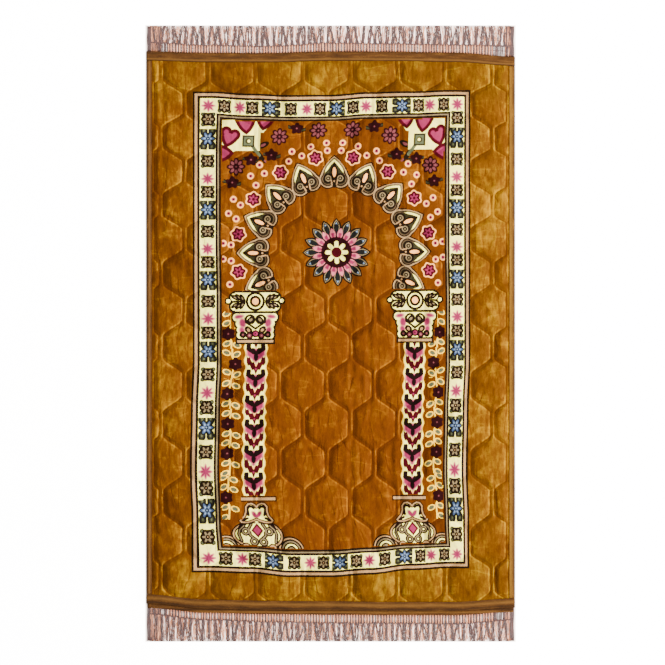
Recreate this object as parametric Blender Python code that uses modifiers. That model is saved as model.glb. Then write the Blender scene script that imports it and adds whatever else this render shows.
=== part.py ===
"""Quilted prayer rug, lying flat: a foam-filled plush mat, a brown tape bound round its four edges, and a
yarn fringe at each short end.

Metres, +Z up. The origin is on the floor under the middle of the rug, and +Y points to the head end.
"""

import math
import random

import bmesh
import bpy

# Whole rug
WIDTH = 0.800  # over the side tapes
LENGTH = 1.337  # tip to tip of the two fringes
HEAD_EDGE = 0.6097  # outer fold of the head tape
FOOT_EDGE = 0.5980  # the same at the foot end, measured the other way
HEAD_LINE = (2.2, -1.5, -1.7, 1.7, 1.3, -0.9, -9.3)  # mm that this edge lies further out, from left to right
FOOT_LINE = (-12.6, -1.3, 1.5, 2.6, 3.7, 3.7, -3.9)
LINE_REACH = 0.26  # how far in from an end its wandering is felt
GAP = 0.0003  # between pieces that are sewn together

# Binding tape, folded round the edge of the mat
TAPE_THICK = 0.0012
SIDE_TAPE = 0.0125  # width seen from above
END_TAPE = 0.0205
TAPE_STEPS = 32  # stretches that an end tape is drawn with
FOLD_STEPS = 4  # facets round the outer fold

# Mat, pinched flat where the tape holds it
EDGE_LOW = TAPE_THICK + GAP
EDGE_HIGH = 0.0055
TAPE_TOP = EDGE_HIGH + GAP + TAPE_THICK
EDGE_INSET = TAPE_TOP / 2  # from the tape's outer face to where the mat's edge rounds off
EDGE_TIP = TAPE_THICK + 3 * GAP  # from there to the tip of that rounding
SWELL_IN = 0.016  # the filling reaches its full height this far inside the tape
UNDERSIDE_SWELL = 0.012  # the underside comes down to the floor this far inside the tape

# Quilting: wavy stitch lines run head to foot and bound rounded cells, with a narrow neck between two cells
LINE_PITCH = 0.0513
FIRST_LINE = -0.3920
LINES = 16
WAVE = 0.0208  # sideways swing of a stitch line
HEAD_ROW = 0.5702  # centre of the first row of cells
HEAD_PITCH, FOOT_PITCH = 0.0728, 0.0846  # rows lie closer at the head end, where the mat is drawn up
DRAWN_UP = (4.0, 9.5)  # the rows between which the pitch changes
ROWS = 15
CROSSING = 0.30  # share of the pitch after which a line leaves a cell's side and crosses to the next one
ALONG = (0.0, CROSSING, 0.5, 1 - CROSSING)  # rows of points in one pitch
ACROSS = (0.16, 0.50, 0.84)  # points between two stitch lines, as shares of the gap
CELL_PUFF, NECK_PUFF = 0.0064, 0.0018  # height of the filling over a stitch line
PUFF_SHAPE = 0.55  # how fast the height grows with the width of the cell
SIDE_SHAPE = 4  # how square a cell is in section
CELL_WIDTH = LINE_PITCH + 2 * WAVE
NECK_WIDTH = LINE_PITCH - 2 * WAVE

# Soft creases left by folding: place across, the stretch that each runs, depth and half-width
CREASES = [
    {"x": -0.365, "head": 0.58, "foot": 0.16, "depth": 0.0022, "half": 0.014},
    {"x": -0.165, "head": 0.58, "foot": 0.33, "depth": 0.0030, "half": 0.012},
    {"x": 0.046, "head": 0.58, "foot": -0.57, "depth": 0.0024, "half": 0.012},
    {"x": 0.084, "head": 0.50, "foot": -0.20, "depth": 0.0024, "half": 0.012},
    {"x": 0.132, "head": -0.14, "foot": -0.52, "depth": 0.0022, "half": 0.014},
]

# Fringe: a heading of short threads sewn to the tape, a turned-under selvedge at each end of it, and between
# these the yarns, which leave the heading in pairs that open like a V
HEADING = {"head": 0.0195, "foot": 0.0295}  # width of the heading
HEADING_THICK = 0.0016
HEADING_TUCK = 0.0004  # its inner edge lies this far in under the round of the tape's fold
HEADING_SIDE = 0.002  # the heading stops this far inside the rug's sides
SELVEDGE = 0.015
PAIRS = 60
YARN_WIDTH = 0.0021
YARN_TIP = 0.62  # width of a yarn's cut tip, as a share of its root
TIP_HEIGHT = 0.0009
SPLAY = 0.0032  # most that the tip of a yarn leans away from its neighbour
LEAN = 0.0060  # most that a whole pair leans
LEAN_WAVES = (7.0, 17.0)  # how the lean changes along the fringe
TRIM = 0.0030  # most that a yarn falls short of the longest


# ---------------------------------------------------------------- how the rug lies


def ramp(value, start, end):
    return min(1.0, max(0.0, (value - start) / (end - start)))


def edge_shift(line, x):
    """Metres that an end's edge lies further out at x, eased from one value of its line to the next."""
    place = (len(line) - 1) * ramp(x, -WIDTH / 2, WIDTH / 2)
    index = min(int(place), len(line) - 2)
    eased = 0.5 - 0.5 * math.cos(math.pi * (place - index))
    return (line[index] + (line[index + 1] - line[index]) * eased) / 1000


def swell(x, y):
    """How far the point x, y is moved along Y by the wandering of the nearer end."""
    if y > 0:
        return edge_shift(HEAD_LINE, x) * ramp(y, HEAD_EDGE - LINE_REACH, HEAD_EDGE - 2 * END_TAPE)
    return -edge_shift(FOOT_LINE, x) * ramp(-y, FOOT_EDGE - LINE_REACH, FOOT_EDGE - 2 * END_TAPE)


def row_y(row):
    """Place along the rug of a row of cells, counted from the head."""
    start, end = DRAWN_UP
    if row < start:
        extra = 0.0
    elif row < end:
        extra = (row - start) ** 2 / (2 * (end - start))
    else:
        extra = row - (start + end) / 2
    return HEAD_ROW - HEAD_PITCH * row - (FOOT_PITCH - HEAD_PITCH) * extra


def row_at(y):
    """The row of cells at y, as a number with a fraction: the inverse of row_y."""
    start, end = DRAWN_UP
    if y > row_y(start):
        return (HEAD_ROW - y) / HEAD_PITCH
    if y < row_y(end):
        return end + (row_y(end) - y) / FOOT_PITCH
    growth = (FOOT_PITCH - HEAD_PITCH) / (end - start)
    return start + (math.sqrt(HEAD_PITCH**2 + 2 * growth * (row_y(start) - y)) - HEAD_PITCH) / growth


# ---------------------------------------------------------------- quilted mat

HALF_MAT = WIDTH / 2 - EDGE_INSET
TAPE_INNER = WIDTH / 2 - SIDE_TAPE
EDGES = (WIDTH / 2, HEAD_EDGE, FOOT_EDGE)  # how far the side, the head and the foot are from the origin
TAPES = (SIDE_TAPE, END_TAPE, END_TAPE)
LINE_LIMIT = TAPE_INNER - 0.006  # a stitch line that meets the tape runs beside it


def stitch_x(line, y):
    """Where a stitch line crosses y. Neighbouring lines swing opposite ways."""
    from_even = abs((row_at(y) + 1) % 2 - 1)  # 0 on the rows counted 0, 2, 4 and so on, 1 on those between
    swing = math.sin(math.pi / 2 * max(-1.0, min(1.0, (0.5 - from_even) / (0.5 - CROSSING))))
    side = 1 if line % 2 == 0 else -1
    x = FIRST_LINE + line * LINE_PITCH + side * WAVE * swing
    return max(-LINE_LIMIT, min(LINE_LIMIT, x))


def puff(width):
    """Height of the filling over the stitch lines, for a cell that is this wide here."""
    share = ramp(width, NECK_WIDTH, CELL_WIDTH) ** PUFF_SHAPE
    return NECK_PUFF + (CELL_PUFF - NECK_PUFF) * share


def crease_depth(x, y):
    depth = 0.0
    for crease in CREASES:
        across = max(0.0, 1 - ((x - crease["x"]) / crease["half"]) ** 2)
        along = ramp(y, crease["foot"], crease["foot"] + 0.06) * ramp(-y, -crease["head"], 0.06 - crease["head"])
        depth = max(depth, crease["depth"] * across**2 * along)
    return depth


def inside_tape(x, y):
    """Share of the full height that the filling has at x, y, next to the tapes that pinch it."""
    from_side = TAPE_INNER - abs(x)
    from_end = HEAD_EDGE - END_TAPE - y if y > 0 else FOOT_EDGE - END_TAPE + y
    near = ramp(min(from_side, from_end), 0.0, SWELL_IN)
    return math.sin(math.pi / 2 * near)


def mat_row(y):
    """The points (x, z) of the mat's upper face across the rug at y."""
    lines = [-TAPE_INNER, *(stitch_x(i, y) for i in range(LINES)), TAPE_INNER]
    points = [(-HALF_MAT, EDGE_HIGH), (-TAPE_INNER, EDGE_HIGH)]
    for left, right in zip(lines, lines[1:]):
        for share in (*ACROSS, 1.0):
            x = left + share * (right - left)
            section = 1 - abs(2 * share - 1) ** SIDE_SHAPE
            height = puff(right - left) * section
            height = max(0.0, height - crease_depth(x, y) * section)
            points.append((x, EDGE_HIGH + height * inside_tape(x, y)))
    points.append((HALF_MAT, EDGE_HIGH))
    return points


def mat_rows():
    """The places along the rug where the mat has a row of points, head to foot."""
    head, foot = HEAD_EDGE - END_TAPE, END_TAPE - FOOT_EDGE
    every = [row_y(row + share) for row in range(-1, ROWS) for share in ALONG]
    inner = [y for y in every if foot + SWELL_IN < y < head - SWELL_IN]
    return [
        HEAD_EDGE - EDGE_INSET,
        head,
        head - SWELL_IN / 2,
        head - SWELL_IN,
        *inner,
        foot + SWELL_IN,
        foot + SWELL_IN / 2,
        foot,
        EDGE_INSET - FOOT_EDGE,
    ]


def edge_loops():
    """The loops that lead from the upper face round the edge to the floor: how far each lies in from the
    outer face of the side, head and foot tapes, and its height."""
    return [
        ([EDGE_INSET] * 3, EDGE_HIGH),
        ([EDGE_TIP] * 3, (EDGE_LOW + EDGE_HIGH) / 2),
        ([EDGE_INSET] * 3, EDGE_LOW),
        ([tape + GAP for tape in TAPES], EDGE_LOW),
        ([tape + UNDERSIDE_SWELL for tape in TAPES], 0.0),
    ]


def quilted_mat():
    """One filled slab: the upper face follows the stitch lines, the underside is flat on the floor."""
    rows = mat_rows()
    columns = len(mat_row(0.0))
    mesh = bmesh.new()
    bmesh.ops.create_grid(mesh, x_segments=columns - 1, y_segments=len(rows) - 1, size=1)
    mesh.verts.ensure_lookup_table()
    for index, vertex in enumerate(mesh.verts):
        y = rows[-1 - index // columns]
        x, z = mat_row(y)[index % columns]
        vertex.co = (x, y + swell(x, y), z)
    edge = [e for e in mesh.edges if e.is_boundary]
    loops = edge_loops()
    for (before, _), (after, height) in zip(loops, loops[1:]):
        side, head, foot = ((e - new) / (e - old) for e, old, new in zip(EDGES, before, after))
        made = bmesh.ops.extrude_edge_only(mesh, edges=edge)["geom"]
        for vertex in (v for v in made if isinstance(v, bmesh.types.BMVert)):
            x, y, _ = vertex.co
            vertex.co = (x * side, y * (head if y > 0 else foot), height)
        edge = [e for e in made if isinstance(e, bmesh.types.BMEdge) and e.is_boundary]
    bmesh.ops.contextual_create(mesh, geom=edge)
    return finished("quilted_mat", mesh, "plush")


# ---------------------------------------------------------------- binding tapes


def fold_section(width):
    """Section of a tape folded round an edge, as (distance in from the outer face, height)."""
    low, high = TAPE_THICK / 2, TAPE_TOP - TAPE_THICK / 2
    radius = (high - low) / 2
    bend = [
        (radius + TAPE_THICK / 2 - radius * math.sin(turn), low + radius - radius * math.cos(turn))
        for turn in (math.pi * i / FOLD_STEPS for i in range(FOLD_STEPS + 1))
    ]
    return [(width, low), *bend, (width, high)]


def folded_tape(name, width, stations, place):
    """A tape folded round an edge. place(station, inset) gives the point of the floor under it."""
    section = fold_section(width)
    mesh = bmesh.new()
    bmesh.ops.create_grid(mesh, x_segments=len(section) - 1, y_segments=len(stations) - 1, size=1)
    mesh.verts.ensure_lookup_table()
    for index, vertex in enumerate(mesh.verts):
        inset, height = section[index % len(section)]
        vertex.co = (*place(stations[index // len(section)], inset), height)
    tape = finished(name, mesh, "tape")
    thickness = tape.modifiers.new("cloth", "SOLIDIFY")
    thickness.thickness = TAPE_THICK
    thickness.offset = 0.0
    thickness.use_even_offset = True
    return tape


def side_tapes():
    """Along each long side, between the two end tapes."""
    for name, sign in (("side_tape_left", -1), ("side_tape_right", 1)):
        head = HEAD_EDGE + edge_shift(HEAD_LINE, sign * WIDTH / 2) - END_TAPE - 2 * GAP
        foot = FOOT_EDGE + edge_shift(FOOT_LINE, sign * WIDTH / 2) - END_TAPE - 2 * GAP
        ends = [-foot, head] if sign > 0 else [head, -foot]
        folded_tape(name, SIDE_TAPE, ends, lambda y, inset, sign=sign: (sign * (WIDTH / 2 - inset), y))


def end_tapes():
    """Across each short end, over the whole width."""
    across = [WIDTH * (i / TAPE_STEPS - 0.5) for i in range(TAPE_STEPS + 1)]

    def head(x, inset):
        return x, HEAD_EDGE - inset + edge_shift(HEAD_LINE, x)

    def foot(x, inset):
        return x, inset - FOOT_EDGE - edge_shift(FOOT_LINE, x)

    folded_tape("end_tape_head", END_TAPE, across[::-1], head)
    folded_tape("end_tape_foot", END_TAPE, across, foot)


# ---------------------------------------------------------------- fringes


def heading_stations():
    """Where the heading has points across the rug, and which of the stretches between them carry a yarn."""
    half = WIDTH / 2 - HEADING_SIDE
    first = SELVEDGE - half
    pitch = -2 * first / PAIRS
    across, yarns = [-half, first], []
    for pair in range(PAIRS):
        middle = first + pitch * (pair + 0.5)
        yarns += [len(across), len(across) + 1]
        across += [middle - YARN_WIDTH, middle, middle + YARN_WIDTH]
    across += [-first, half]
    return across, yarns


def draw_out(mesh, root, tip_x, tip_y, thinning):
    """Draws a yarn out of its root face: it drops to the floor, bends and tapers to a cut tip."""
    face, start, was = root, root.calc_center_median(), 1.0
    for share in (0.55, 1.0):
        face = bmesh.ops.extrude_discrete_faces(mesh, faces=[face])["faces"][0]
        middle = face.calc_center_median()
        width = 1 + share * (thinning - 1)
        height = HEADING_THICK + share * (TIP_HEIGHT - HEADING_THICK)
        x = start.x + (tip_x - start.x) * share**1.6
        y = start.y + (tip_y - start.y) * share
        for vertex in face.verts:
            aside = (vertex.co.x - middle.x) * width / was
            vertex.co = (x + aside, y, height if vertex.co.z > middle.z else 0.0)
        was = width


def fringe(end):
    """The heading with its selvedges and yarns, which are fused to it at their roots."""
    sign, out = (1, HEAD_EDGE) if end == "head" else (-1, FOOT_EDGE)
    across, yarns = heading_stations()
    columns = len(across)
    mesh = bmesh.new()
    bmesh.ops.create_grid(mesh, x_segments=columns - 1, y_segments=1, size=1)
    mesh.verts.ensure_lookup_table()
    for index, vertex in enumerate(mesh.verts):
        x = across[index % columns]
        beyond = -HEADING_TUCK if index < columns else HEADING[end]
        vertex.co = (x, sign * (out + beyond) + swell(x, sign * out), 0.0)
    outer = mesh.verts[columns:]
    lifted = bmesh.ops.extrude_face_region(mesh, geom=mesh.faces[:], use_keep_orig=True)["geom"]
    for vertex in (v for v in lifted if isinstance(v, bmesh.types.BMVert)):
        vertex.co.z = HEADING_THICK
    bmesh.ops.recalc_face_normals(mesh, faces=mesh.faces[:])

    def root(index):
        edge = mesh.edges.get((outer[index], outer[index + 1]))
        return min(edge.link_faces, key=lambda face: abs(face.normal.z))

    rng = random.Random(sign)
    waves = [rng.uniform(0, math.tau) for _ in LEAN_WAVES]
    roots = [root(index) for index in yarns]
    selvedges = [root(0), root(columns - 2)]
    for index, face in enumerate(roots):
        x = face.calc_center_median().x
        lean = sum(math.sin(n * math.tau * x / WIDTH + w) for n, w in zip(LEAN_WAVES, waves)) / 2
        apart = SPLAY * (1 if index % 2 else -1) * rng.uniform(0.2, 1.0)
        tip_x = x + LEAN * lean * (1 - ramp(abs(x), 0.30, 0.38)) + apart
        short = TRIM * rng.random() if index % 11 else 0.0
        draw_out(mesh, face, tip_x, sign * (LENGTH / 2 - short), YARN_TIP)
    for face in selvedges:
        draw_out(mesh, face, face.calc_center_median().x, sign * (LENGTH / 2 - TRIM), 1.0)
    finished("fringe_" + end, mesh, "yarn")


# ---------------------------------------------------------------- materials and scene

FINISHES = {  # base colour, roughness
    "plush": ((0.500, 0.260, 0.030), 0.85),
    "tape": ((0.230, 0.100, 0.026), 0.70),
    "yarn": ((0.420, 0.220, 0.160), 0.75),
}


def finish_of(name):
    material = bpy.data.materials.get(name)
    if material is None:
        colour, roughness = FINISHES[name]
        material = bpy.data.materials.new(name)
        material.use_nodes = True
        shader = material.node_tree.nodes["Principled BSDF"]
        shader.inputs["Base Color"].default_value = (*colour, 1)
        shader.inputs["Roughness"].default_value = roughness
        shader.inputs["Metallic"].default_value = 0.0
    return material


def finished(name, mesh, finish):
    """Closes a bmesh into an object of the rug's collection."""
    bmesh.ops.recalc_face_normals(mesh, faces=mesh.faces[:])
    data = bpy.data.meshes.new(name)
    mesh.to_mesh(data)
    mesh.free()
    data.materials.append(finish_of(finish))
    data.shade_smooth()
    made = bpy.data.objects.new(name, data)
    bpy.data.collections["prayer_rug"].objects.link(made)
    return made


def main():
    for old in list(bpy.data.objects):
        bpy.data.objects.remove(old)
    rug = bpy.data.collections.new("prayer_rug")
    bpy.context.scene.collection.children.link(rug)
    quilted_mat()
    side_tapes()
    end_tapes()
    fringe("head")
    fringe("foot")


main()
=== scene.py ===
"""Quilted prayer rug, dressed for its picture: printed plush mat, brown binding tapes and yarn fringes."""

import functools
import math
import random
from bisect import bisect_right

import bmesh
import bpy
from mathutils import Matrix, Vector, noise


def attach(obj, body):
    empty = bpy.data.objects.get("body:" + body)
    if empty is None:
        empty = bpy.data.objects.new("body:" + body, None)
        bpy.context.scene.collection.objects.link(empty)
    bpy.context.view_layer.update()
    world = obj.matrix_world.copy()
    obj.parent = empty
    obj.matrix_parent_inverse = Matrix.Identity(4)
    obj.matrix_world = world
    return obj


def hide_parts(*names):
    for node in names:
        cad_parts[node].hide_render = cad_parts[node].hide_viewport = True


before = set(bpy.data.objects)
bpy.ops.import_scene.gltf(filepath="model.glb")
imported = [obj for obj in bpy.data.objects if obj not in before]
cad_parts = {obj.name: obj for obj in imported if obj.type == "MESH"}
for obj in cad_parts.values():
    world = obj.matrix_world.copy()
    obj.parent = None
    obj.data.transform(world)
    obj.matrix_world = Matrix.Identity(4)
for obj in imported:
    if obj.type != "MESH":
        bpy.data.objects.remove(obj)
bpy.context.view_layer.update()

# ---------------------------------------------------------------- quilted mat, its shape
# A sheet of short plush over a layer of foam, sewn together by wavy lines that run from the head to the
# foot. Between two lines the foam swells into rounded cells, with a narrow neck between each two.

RUG_WIDTH = 0.800
HEAD_EDGE, FOOT_EDGE = 0.6097, 0.5980  # outer folds of the two end tapes
HEAD_WANDER = (2.2, -1.5, -1.7, 1.7, 1.3, -0.9, -9.3)  # mm that each lies further out, left to right
FOOT_WANDER = (-12.6, -1.3, 1.5, 2.6, 3.7, 3.7, -3.9)
WANDER_REACH = 0.26  # how far from an end its wander is felt
SIDE_TAPE, END_TAPE = 0.0125, 0.0205
EDGE_LOW, EDGE_HIGH = 0.0015, 0.0055  # where the tape pinches the mat
EDGE_INSET, EDGE_TIP = 0.0035, 0.0021  # how far in the mat's faces and its rim end
PAST_TAPE = 0.0003
SWELL_IN = 0.016  # from the tape to the mat's full height
UNDERSIDE_SWELL = 0.012  # from the tape to where the underside meets the floor

LINE_PITCH, FIRST_LINE, LINES = 0.0513, -0.3920, 16
WAVE = 0.0208  # how far a line swings to each side
HEAD_ROW = 0.5702  # the first row of cells
HEAD_PITCH, FOOT_PITCH = 0.0728, 0.0846  # from row to row at each end
DRAWN_UP = (4.0, 9.5)  # rows between which the pitch grows
CROSSING = 0.30  # share of the pitch after which a line leaves a cell's side and crosses to the next one
LINE_SHAKE, SHAKE_LENGTH = 0.0022, 0.045
CELL_WIDTH, NECK_WIDTH = LINE_PITCH + 2 * WAVE, LINE_PITCH - 2 * WAVE
TAPE_INNER = RUG_WIDTH / 2 - SIDE_TAPE
LINE_LIMIT = TAPE_INNER - 0.006
MAT_COLUMNS, MAT_ROWS = 250, 370

NECK_FULL, CELL_FULLER, CELL_CROWN = 0.0030, 0.0032, 0.0010  # a neck's height, what a cell adds and its dome
NECK_SHOULDER, CELL_SHOULDER = 0.0032, 0.0048  # how far from a line a neck is full, and what a cell adds
PUCKER, PUCKER_REACH = 0.0018, 0.014
BROAD_LUMPS, SMALL_LUMPS = 0.0018, 0.0013
UPRIGHT_FOLDS, SLANT_FOLDS, MARGIN_FOLDS = 0.0019, 0.0017, 0.0030
MARGIN_START = (0.27, 0.32)
END_GATHERS, SIDE_GATHERS = (0.0012, 0.030, 0.013), (0.0011, 0.026, 0.016)  # height, reach in and length
CREASE_SHAKE, CREASE_FADE = 0.006, 0.06
CREASES = [
    {"x": -0.365, "head": 0.58, "foot": 0.16, "depth": 0.0024, "half": 0.008},
    {"x": -0.165, "head": 0.58, "foot": 0.33, "depth": 0.0034, "half": 0.007},
    {"x": 0.046, "head": 0.58, "foot": -0.57, "depth": 0.0026, "half": 0.006},
    {"x": 0.084, "head": 0.50, "foot": -0.20, "depth": 0.0028, "half": 0.006},
    {"x": 0.132, "head": -0.14, "foot": -0.52, "depth": 0.0024, "half": 0.007},
]


def ramp(value, start, end):
    return min(1.0, max(0.0, (value - start) / (end - start)))


def ease(share):
    return share * share * (3 - 2 * share)


def across_line(line, x, half=RUG_WIDTH / 2):
    """Metres at x of a row of mm spread evenly from -half to half, eased from each to the next."""
    place = (len(line) - 1) * ramp(x, -half, half)
    index = min(int(place), len(line) - 2)
    return (line[index] + (line[index + 1] - line[index]) * ease(place - index)) / 1000


def swell(x, y):
    """How far the head and the foot pull a point of the mat along the rug."""
    if y > 0:
        return across_line(HEAD_WANDER, x) * ramp(y, HEAD_EDGE - WANDER_REACH, HEAD_EDGE - 2 * END_TAPE)
    return -across_line(FOOT_WANDER, x) * ramp(-y, FOOT_EDGE - WANDER_REACH, FOOT_EDGE - 2 * END_TAPE)


def row_y(row):
    start, end = DRAWN_UP
    if row < start:
        extra = 0.0
    elif row < end:
        extra = (row - start) ** 2 / (2 * (end - start))
    else:
        extra = row - (start + end) / 2
    return HEAD_ROW - HEAD_PITCH * row - (FOOT_PITCH - HEAD_PITCH) * extra


def row_at(y):
    """The row of cells at y, with its share, as row_y turned round."""
    start, end = DRAWN_UP
    if y > row_y(start):
        return (HEAD_ROW - y) / HEAD_PITCH
    if y < row_y(end):
        return end + (row_y(end) - y) / FOOT_PITCH
    growth = (FOOT_PITCH - HEAD_PITCH) / (end - start)
    return start + (math.sqrt(HEAD_PITCH**2 + 2 * growth * (row_y(start) - y)) - HEAD_PITCH) / growth


def stitch_x(line, y):
    from_even = abs((row_at(y) + 1) % 2 - 1)
    crossed = max(-1.0, min(1.0, (0.5 - from_even) / (0.5 - CROSSING)))
    swing = crossed * (1.25 - 0.25 * crossed * crossed)
    x = FIRST_LINE + line * LINE_PITCH + (1 if line % 2 == 0 else -1) * WAVE * swing
    x += LINE_SHAKE * noise.noise(Vector((line * 3.7, y / SHAKE_LENGTH, 0.5)))
    return max(-LINE_LIMIT, min(LINE_LIMIT, x))


def stitch_lines(y):
    """Where the stitch lines cross y, with the cosine of each one's slant."""
    step = 0.002
    lines = []
    for line in range(LINES):
        slant = (stitch_x(line, y + step) - stitch_x(line, y - step)) / (2 * step)
        lines.append((stitch_x(line, y), 1 / math.hypot(1, slant)))
    return [(-TAPE_INNER, 1.0), *lines, (TAPE_INNER, 1.0)]


def from_end_tape(y):
    return HEAD_EDGE - END_TAPE - y if y > 0 else FOOT_EDGE - END_TAPE + y


def inside_tape(x, y):
    """Share of the mat's height at x, y, which falls to nothing under the tapes."""
    from_side = TAPE_INNER - abs(x)
    return math.sin(math.pi / 2 * ramp(min(from_side, from_end_tape(y)), 0.0, SWELL_IN))


def rumple(x, y, length, seed):
    """Even noise from -1 to 1 with the given length in metres."""
    return noise.noise(Vector((x / length, y / length, seed)))


def wrinkle(x, y, length, seed):
    """Thin ridges that wander, from 0 to 1, with bare places between them."""
    sharp = max(0.0, 1 - 6 * abs(rumple(x, y, length, seed)))
    return sharp * sharp * ramp(rumple(x, y, length * 1.8, seed + 9.0), -0.05, 0.3)


def crease_drop(x, y):
    """How deep the long creases are at x, y: each is a trough with a low lip on both sides."""
    drop = 0.0
    for crease in CREASES:
        wander = CREASE_SHAKE * rumple(0.0, y, 0.11, crease["half"] * 900)
        across = (x - crease["x"] - wander) / crease["half"]
        if abs(across) > 3:
            continue
        from_foot = ramp(y, crease["foot"], crease["foot"] + CREASE_FADE)
        from_head = ramp(-y, -crease["head"], CREASE_FADE - crease["head"])
        trough = math.exp(-(across**2)) - 0.45 * math.exp(-((abs(across) - 1.7) ** 2) / 0.5)
        drop += crease["depth"] * trough * from_foot * from_head * (0.75 + 0.5 * rumple(x, y, 0.05, 3.0))
    return drop


def cell_height(x, y, lines):
    """Height of the foam at x, y over the pinched edge, with its lumps, and the share of it that is risen."""
    index = bisect_right([line[0] for line in lines], x) - 1
    index = max(0, min(len(lines) - 2, index))
    (left, left_lean), (right, right_lean) = lines[index], lines[index + 1]
    width = max(right - left, 1e-4)
    wide = ramp(width, NECK_WIDTH, CELL_WIDTH)
    from_line = max(0.0, min((x - left) * left_lean, (right - x) * right_lean))
    full = NECK_FULL + CELL_FULLER * wide**0.55
    crown = CELL_CROWN * wide * (1 - (2 * (x - left) / width - 1) ** 2)
    rise = 1 - math.exp(-((from_line / (NECK_SHOULDER + CELL_SHOULDER * wide)) ** 1.25))
    full += PUCKER * math.exp(-from_line / PUCKER_REACH) * rumple(x * 0.7, y * 2.0, 0.030, index * 3.1)
    full += BROAD_LUMPS * rumple(x, y, 0.060, 1.7)
    full += SMALL_LUMPS * rumple(x * 1.9 + y * 0.5, y * 0.8, 0.026, 5.2)
    return full * rise + crown, rise


def mat_height(x, y, lines):
    """Height of the plush at x, y over the pinched edge."""
    height, rise = cell_height(x, y, lines)
    folds = UPRIGHT_FOLDS * wrinkle(x * 1.7, y * 0.8, 0.060, 2.3)
    folds += SLANT_FOLDS * wrinkle(x + y * 0.6, y * 1.6, 0.052, 4.9)
    folds += MARGIN_FOLDS * ramp(abs(x), *MARGIN_START) * wrinkle(x * 0.6, y * 1.8, 0.060, 7.7)
    height += (folds - crease_drop(x, y)) * rise
    high, reach, length = END_GATHERS
    height += high * math.exp(-from_end_tape(y) / reach) * rumple(x, 0.0, length, 8.0)
    high, reach, length = SIDE_GATHERS
    height += high * math.exp(-(TAPE_INNER - abs(x)) / reach) * rumple(0.0, y, length, 9.0)
    return max(0.0, height)


def quilted_mat():
    """The upper face as one fine grid, with each point's place and each row's stitch lines."""
    mesh = bmesh.new()
    bmesh.ops.create_grid(mesh, x_segments=MAT_COLUMNS, y_segments=MAT_ROWS, size=1)
    mesh.verts.ensure_lookup_table()
    half = RUG_WIDTH / 2 - EDGE_INSET
    foot, head = EDGE_INSET - FOOT_EDGE, HEAD_EDGE - EDGE_INSET
    places, row_lines = [], []
    for row in range(MAT_ROWS + 1):
        y = foot + (head - foot) * row / MAT_ROWS
        lines = stitch_lines(y)
        row_lines.append(lines)
        for column in range(MAT_COLUMNS + 1):
            x = half * (2 * column / MAT_COLUMNS - 1)
            inside = inside_tape(x, y)
            height = mat_height(x, y, lines) * inside if inside > 0 else 0.0
            moved = y + swell(x, y)
            mesh.verts[len(places)].co = (x, moved, EDGE_HIGH + height)
            places.append((x, moved))
    return mesh, places, row_lines


mat_mesh, mat_places, mat_lines = quilted_mat()

# ---------------------------------------------------------------- quilted mat, where its print lies
# One screen-printed panel: a framed prayer niche on gold plush. The print is the same on both sides of its
# axis. It shifted a little when the panel was quilted, which a few short tables of the shift bring back.

PRINT_DRIFT = [(-0.057, 0.0022), (-0.166, -0.0016), (-0.296, -0.0038), (-0.404, -0.0004)]  # y, shift to +X
PRINT_BULGE = [  # y, shift to +X at the axis, which fades out at the frame
    (0.490, 0.0110),
    (0.390, 0.0060),
    (0.200, 0.0060),
    (0.072, 0.0100),
    (-0.404, 0.0110),
    (-0.485, 0.0210),
]
HEAD_SAG = (-2.8, -2.2, 2.6, 5.6, 4.8, -1.1, -2.6, -5.4, -5.4)  # mm that the frame's head side sags
MIDDLE_SAG = (2.9, 2.2, 1.4, 0.7, 0.0, -0.7, -1.4, -2.2, -2.9)
FOOT_SAG = (-1.5, -1.5, 1.1, 8.7, 8.7, 3.3, -6.1, -10.4, -10.4)
SAG_HALF = 0.345  # how far to each side those three reach
SAG_FADES = (0.48, 0.40)  # how far from the middle an end's own sag is full, and where it is gone

FRAME_HALF = 0.2979  # from the axis to the frame's outer line
BAND_SIDE, BAND_HEAD, BAND_FOOT = 0.2699, 0.4912, -0.4880  # middle of its cream band
BAND_REACH = 0.0290, 0.0320  # from there to the end of the inner and of the outer lines
CORNER_STAR = 0.0150
SIDE_STARS = (0.4912, 0.3371, 0.1854, 0.0340, -0.1264, -0.2972, -0.4880)
SIDE_PERIOD = 0.156
SIDE_BETWEEN = ((0.185, "frame_rosette"), (0.44, "frame_bloom"), (0.75, "frame_rosette"))
END_ROW = (
    (0.0, "frame_bloom"),
    (0.0358, "frame_rosette"),
    (0.0640, "frame_star"),
    (0.0986, "frame_rosette"),
    (0.1435, "frame_bloom"),
    (0.1806, "frame_rosette"),
    (0.2060, "frame_star"),
    (0.2380, "frame_rosette"),
)
END_SQUEEZE = 0.92

ARCH_V = 0.1745
ARCH_PITCH = math.radians(22.4)
HEARTS, HEART_RADIUS = 6, 0.1756  # from the crown down one side, and their circle's radius
ROSETTES, ROSETTE_CIRCLE, ROSETTE_REACH = 5, 0.2103, 0.0185
HEART_TIP, HEART_LOBE_X, HEART_LOBE_Y, HEART_LOBE = 0.035, 0.014, -0.016, 0.019
DOT_REACH = 0.0085
ARCH_DOTS = (  # turn from the crown in degrees, distance from the arch's centre
    (3.9, 0.2222), (4.2, 0.2396), (12.5, 0.2363), (18.5, 0.2222), (22.6, 0.2385), (26.3, 0.2222),
    (40.0, 0.2504), (41.0, 0.2298), (47.0, 0.2461), (48.7, 0.2244), (61.4, 0.2463), (62.4, 0.2272),
    (68.9, 0.2428), (70.3, 0.2237), (84.5, 0.2385), (85.0, 0.2222), (92.7, 0.2385), (94.0, 0.2222),
    (106.4, 0.2352),
)
MEDALLION, MEDALLION_REACH, MEDALLION_EDGE = (0.0045, 0.1757), 0.072, 0.002
BLOSSOMS, BLOSSOM_REACH = ((0.0840, 0.4477), (0.1793, 0.3779), (0.1358, 0.3876), (0.2190, 0.3289)), 0.016
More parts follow.
